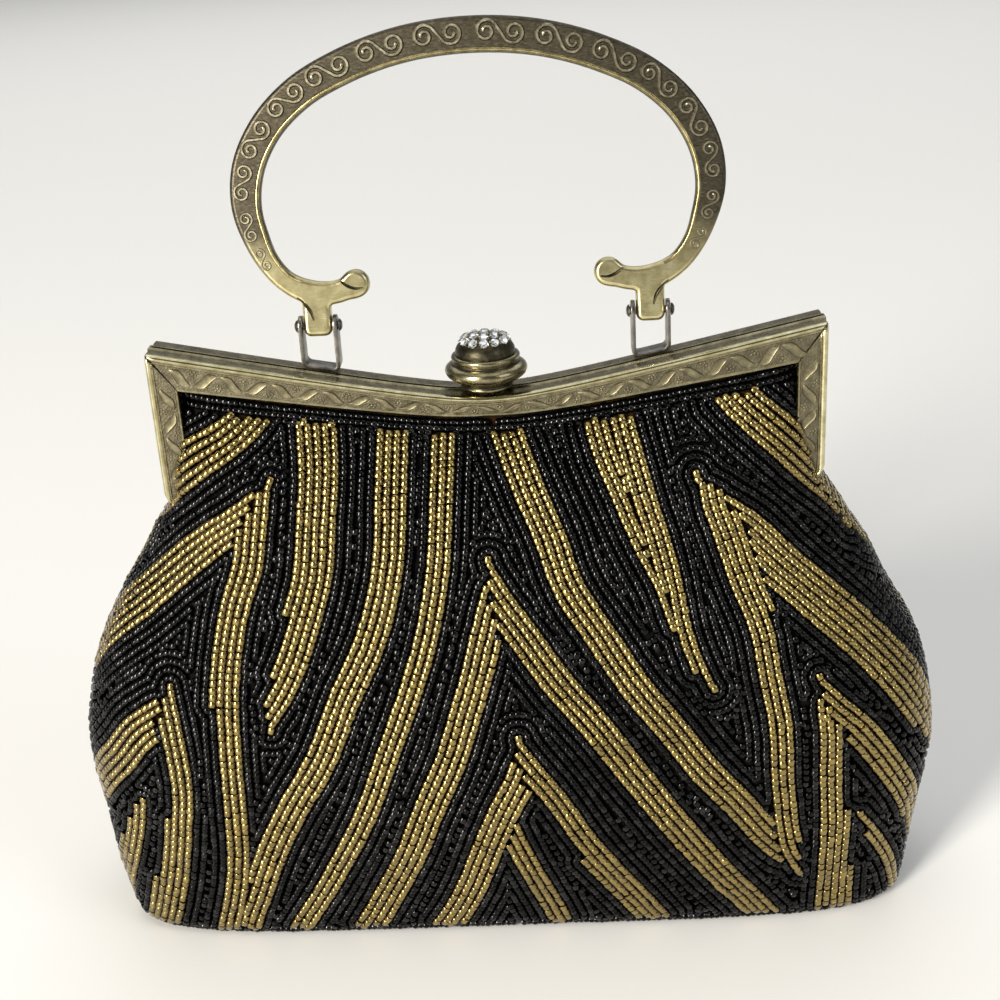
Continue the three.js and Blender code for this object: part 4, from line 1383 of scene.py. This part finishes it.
def scroll_ridges(path, run, front):
    """S scrolls along the handle's front as half-round ridges."""
    parts = []
    u = np.linspace(0, 1, SCROLL_STATIONS)[:, None]
    turn = SCROLL_LEAVE + 2 * math.pi * SCROLL_TURNS * (1 - u)
    for along, spacing in SCROLLS:
        reach = SCROLL_RADIUS * spacing * (SCROLL_EYE + (1 - SCROLL_EYE) * u)
        half = np.concatenate([reach * np.cos(turn) - spacing / 2, reach * np.sin(turn)], 1)
        line = np.concatenate([half, -half[::-1]])
        thick = np.full(len(line), SCROLL_RIDGE * spacing)
        thick[:len(SCROLL_TIP)] *= SCROLL_TIP
        thick[-len(SCROLL_TIP):] *= SCROLL_TIP[::-1]
        for sign in (-1, 1):
            spot, ahead, out = on_band(path[:, :2], run, sign * along)
            flat = spot + SCROLL_OUT * out + line[:, :1] * ahead + line[:, 1:] * out
            parts.append(tube(flat, thick, front, 6))
    return parts


def inner_edge(path, run, front):
    """The worn moulding along the handle's inner edge, its bright line partly a painted highlight."""
    ahead = directions(path[:, :2])
    inward = np.stack([ahead[:, 1], -ahead[:, 0]], 1)
    sections = []
    for i in np.nonzero(np.abs(run) < MOULDING_REACH)[0][::MOULDING_STEP]:
        ring = []
        for share, lift in MOULDING_SECTION:
            spot = path[i, :2] + inward[i] * (path[i, 2] - share)
            ring.append((spot[0], front - lift, spot[1]))
        sections.append(ring)
    return swept(sections)


# Links, pins, rivets, knob and stones

def turned_piece(name, profile, materials, centre, axis, steps):
    """A piece spun about an axis through its centre, from a profile of distance along the axis and radius."""
    points = []
    for along, radius in profile:
        spot = {"X": (along, 0, radius), "Y": (0, along, -radius), "Z": (radius, 0, along)}[axis]
        points.append(np.add(spot, centre))
    piece = add_piece(name, points, [], materials, [(i, i + 1) for i in range(len(points) - 1)])
    edit(piece)
    direction = {"X": (1, 0, 0), "Y": (0, 1, 0), "Z": (0, 0, 1)}[axis]
    bpy.ops.mesh.spin(steps=steps, angle=2 * math.pi, center=np.multiply(centre, MM), axis=direction)
    bpy.ops.mesh.select_all(action="SELECT")
    bpy.ops.mesh.remove_doubles(threshold=0.005 * MM)
    bpy.ops.mesh.normals_make_consistent(inside=False)
    leave_edit()
    return piece


def link_path(middle):
    """Middle line of a link's strip: down one arm, along the frame and up the other arm."""
    reach = LINK_WIDTH / 2 - LINK_STRIP / 2
    path = [(middle - reach, PIN_Z + LINK_DEPTH / 2)]
    for sign, bend in ((-1, (180, 270)), (1, (270, 360))):
        for turn in np.radians(np.linspace(*bend, LINK_BEND_STATIONS)):
            x = middle + sign * (reach - LINK_BEND) + LINK_BEND * math.cos(turn)
            foot = frame_top(x) + LINK_SEAT + LINK_STRIP / 2
            path.append((x, foot + LINK_BEND * (1 + math.sin(turn))))
    path.append((middle + reach, PIN_Z + LINK_DEPTH / 2))
    return np.array(path)


def make_link(name, side):
    """A steel strip bent to a U on the frame, its arms rounded about the pin."""
    path = link_path(side * LUG_X)
    ahead = directions(path)
    over = np.stack([-ahead[:, 1], ahead[:, 0]], 1) * LINK_STRIP / 2
    sections = []
    for spot, out in zip(path, over):
        ring = []
        for across, depth in ((-1, -1), (1, -1), (1, 1), (-1, 1)):
            x, z = spot + across * out
            ring.append((x, PIN_Y + depth * LINK_DEPTH / 2, z))
        sections.append(ring)
    piece = add_piece(name, *swept(sections), ["steel"])
    edit(piece, "EDGE")
    bpy.ops.mesh.normals_make_consistent(inside=False)
    bpy.ops.mesh.select_all(action="DESELECT")
    leave_edit()
    mesh = piece.data
    top = max(v.co.z for v in mesh.vertices) - LINK_TOP_BAND * MM
    for edge in mesh.edges:
        a, b = (mesh.vertices[i].co for i in edge.vertices)
        edge.select = min(a.z, b.z) > top and abs(a.x - b.x) > LINK_STRIP / 2 * MM
    bpy.ops.object.mode_set(mode="EDIT")
    bpy.ops.mesh.bevel(offset=(LINK_DEPTH / 2 - LINK_ROUND) * MM, segments=8, profile=0.5, affect="EDGES")
    leave_edit()
    run_modifier(
        piece, "BEVEL", width=LINK_EDGE * MM, segments=2, limit_method="ANGLE", angle_limit=math.radians(40))
    smooth(piece, 35)
    placed(piece, "bag", [name])


def make_fittings():
    """The links, the pins in them and the frame's rivets."""
    reach = LINK_WIDTH / 2 + PIN_PLAY
    pin = [(-reach - past, radius) for past, radius in PIN_HEAD]
    pin += [(reach + past, radius) for past, radius in PIN_HEAD[::-1]]
    for side, end in ((-1, "left"), (1, "right")):
        make_link(f"link_{end}", side)
        piece = turned_piece(f"pin_{end}", pin, ["steel"], (side * LUG_X, PIN_Y, PIN_Z), "X", 24)
        smooth(piece, 40)
        placed(piece, "bag", [f"pin_{end}"])
        low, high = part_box(f"hinge_rivet_{end}")
        half = (high[1] - low[1]) / 2 / MM
        radius = (high[2] - low[2]) / 2 / MM
        centre = [(a + b) / 2 / MM for a, b in zip(low, high)]
        rivet = [(-half + inside, radius * share) for inside, share in RIVET_END]
        rivet += [(half - inside, radius * share) for inside, share in RIVET_END[::-1]]
        piece = turned_piece(f"hinge_rivet_{end}", rivet, ["dark"], centre, "Y", 24)
        smooth(piece, 40)
        placed(piece, "bag", [f"hinge_rivet_{end}"])


def make_knob():
    """The clasp's turned knob with painted shade in its grooves, and the dome on it."""
    rows = [(z, r) for r, z in KNOB_PROFILE]
    curve = [rows[0], *smooth_table(rows[1:-1], KNOB_STATIONS), rows[-1]]
    knob = turned_piece("knob", curve, ["brass", "dark"], (0, 0, DIP_Z), "Z", 64)
    # Painted shade: the grooves take the dark brass
    for polygon in knob.data.polygons:
        x, y, z = polygon.center / MM
        in_groove = any(low < z - DIP_Z < high for low, high in KNOB_GROOVES)
        polygon.material_index = int(math.hypot(x, y) < KNOB_GROOVE_RADIUS and in_groove)
    smooth(knob, 50)
    placed(knob, "clasp", ["knob_base"])
    rows = [(z, r) for r, z in DOME_PROFILE]
    curve = [rows[0], *smooth_table(rows[1:], DOME_STATIONS)]
    dome = turned_piece("knob_dome", curve, ["dark"], (0, 0, DIP_Z), "Z", 48)
    smooth(dome, 50)
    placed(dome, "clasp", ["knob_dome"])


def stone_seats():
    """Each stone's seat on the dome, with its axis and two directions across it."""
    for count, radius, height, lean in STONE_RINGS:
        lean = math.radians(lean)
        for k in range(count):
            turn = -math.pi / 2 + 2 * math.pi * k / count
            outward = np.array((math.cos(turn), math.sin(turn), 0))
            axis = math.sin(lean) * outward + (0, 0, math.cos(lean))
            side = np.array((-math.sin(turn), math.cos(turn), 0))
            seat = radius * outward + (0, 0, DIP_Z + height)
            yield seat, axis, side, np.cross(side, axis)


def stone_points(seat, axis, side, ahead, rings):
    """Eight-sided rings about a stone's axis, from rows of radius, height and twist."""
    points = []
    for radius, height, twist in rings:
        points += [seat + axis * height + radius * (math.cos(t + twist) * side + math.sin(t + twist) * ahead)
                   for t in EIGHTHS]
    return points


def ball(spot):
    """The small ball of a prong's tip, six-sided."""
    points = [spot + (0, 0, -PRONG_RADIUS)]
    for lift in (-0.5, 0.5):
        points += [spot + PRONG_RADIUS * np.array((BALL_WIDE * math.cos(t), BALL_WIDE * math.sin(t), lift))
                   for t in SIXTHS]
    points.append(spot + (0, 0, PRONG_RADIUS))
    faces = [(0, 1 + (k + 1) % 6, 1 + k) for k in range(6)]
    faces += [(1 + k, 1 + (k + 1) % 6, 7 + (k + 1) % 6, 7 + k) for k in range(6)]
    faces += [(7 + k, 7 + (k + 1) % 6, 13) for k in range(6)]
    return points, faces


def make_stones():
    """Cut stones over silver foil, and the small prongs between them."""
    glass_faces, foil_faces = [], []
    for k in range(8):
        n = (k + 1) % 8
        glass_faces.append((k, n, 8 + n, 8 + k))
        foil_faces.append((k, n, 16))
    for k in range(8):
        n = (k + 1) % 8
        glass_faces += [(8 + k, 8 + n, 16 + k), (16 + k, 8 + n, 16 + n)]
        glass_faces += [(16 + k, 24 + n, 24 + k), (16 + k, 16 + n, 24 + n)]
        foil_faces.append((8 + k, 8 + n, n, k))
    glass_faces += [tuple(range(24, 32)), tuple(reversed(range(8)))]
    foil_faces.append(tuple(reversed(range(8, 16))))
    glass, foil, prongs = [], [], []
    for seat, axis, side, ahead in stone_seats():
        glass.append((stone_points(seat, axis, side, ahead, STONE_CUT), glass_faces))
        cup = stone_points(seat, axis, side, ahead, FOIL_CUP)
        foil.append((cup + [seat + axis * FOIL_MIDDLE], foil_faces))
        for spot in stone_points(seat, axis, side, ahead, (PRONG_RING,))[::2]:
            prongs.append(ball(spot))
    nodes = [f"stone_{k:02d}" for k in range(1, len(glass) + 1)]
    for name, parts, material, slot in (
            ("stones_glass", glass, "glass", "crystal"),
            ("stones_foil", foil, "foil", "crystal"),
            ("stone_prongs", prongs, "worn", "dark_brass")):
        piece = add_piece(name, *gathered(parts), [material])
        face_outwards(piece)
        if parts is prongs:
            smooth(piece, 180)
        placed(piece, "clasp", nodes)


# Camera, light and floor

def make_camera():
    """The camera that the photo was matched with."""
    yaw, pitch, roll = (math.radians(angle) for angle in (CAMERA_YAW, CAMERA_PITCH, CAMERA_ROLL))
    ahead = np.array([math.sin(yaw) * math.cos(pitch), math.cos(yaw) * math.cos(pitch), -math.sin(pitch)])
    right = np.array([math.cos(yaw), -math.sin(yaw), 0])
    above = np.cross(right, ahead)
    across = right * math.cos(roll) + above * math.sin(roll)
    up = above * math.cos(roll) - right * math.sin(roll)
    bpy.ops.object.camera_add()
    camera = bpy.context.object
    camera.data.lens = CAMERA_LENS
    camera.data.sensor_width = CAMERA_SENSOR
    turn = Matrix((across, up, -ahead)).transposed().to_4x4()
    camera.matrix_world = Matrix.Translation(CAMERA_PLACE) @ turn
    bpy.context.scene.camera = camera


def make_studio():
    """A pale floor and soft light: a tall window, a weak fill, a light behind and a wide ceiling."""
    bpy.ops.mesh.primitive_plane_add(size=FLOOR_SIZE, location=(0, 0, 0))
    floor = bpy.context.object
    floor.name = "floor"
    floor.data.materials.append(MATERIALS["floor"])

    world = bpy.data.worlds.new("studio")
    bpy.context.scene.world = world
    world.use_nodes = True
    tree = world.node_tree
    tree.nodes.clear()
    ray = add_node(tree, "TexCoord", out="Generated")
    height = add_node(tree, "SeparateXYZ", {"Vector": ray}, "Z")
    sky = add_node(tree, "ValToRGB", {"Fac": height}, stops=SKY)
    add_node(tree, "OutputWorld", {"Surface": add_node(tree, "Background", {"Color": sky})})

    for name, place, target, power, size, colour in LAMPS:
        bpy.ops.object.light_add(type="AREA", location=place)
        lamp = bpy.context.object
        lamp.name = name
        lamp.rotation_mode = "QUATERNION"
        lamp.rotation_quaternion = Vector(np.subtract(target, place)).to_track_quat("-Z", "Y")
        lamp.data.energy = power
        lamp.data.color = linear(colour)[:3]
        lamp.data.shape = "RECTANGLE"
        lamp.data.size, lamp.data.size_y = size
    bpy.ops.object.light_add(type="SUN", location=(0, 0, 3))
    ceiling = bpy.context.object
    ceiling.name = "ceiling"
    ceiling.data.energy = CEILING_STRENGTH
    ceiling.data.angle = math.radians(CEILING_ANGLE)
    bpy.context.scene.view_settings.view_transform = "Standard"


make_camera()
make_studio()
make_cloth()
make_beads()
make_frame_half("frame_front_half", "frame_front", (1, 1, 1))
make_frame_half("frame_back_half", "frame_back", (-1, -1, 1))
make_handle()
make_fittings()
make_knob()
make_stones()
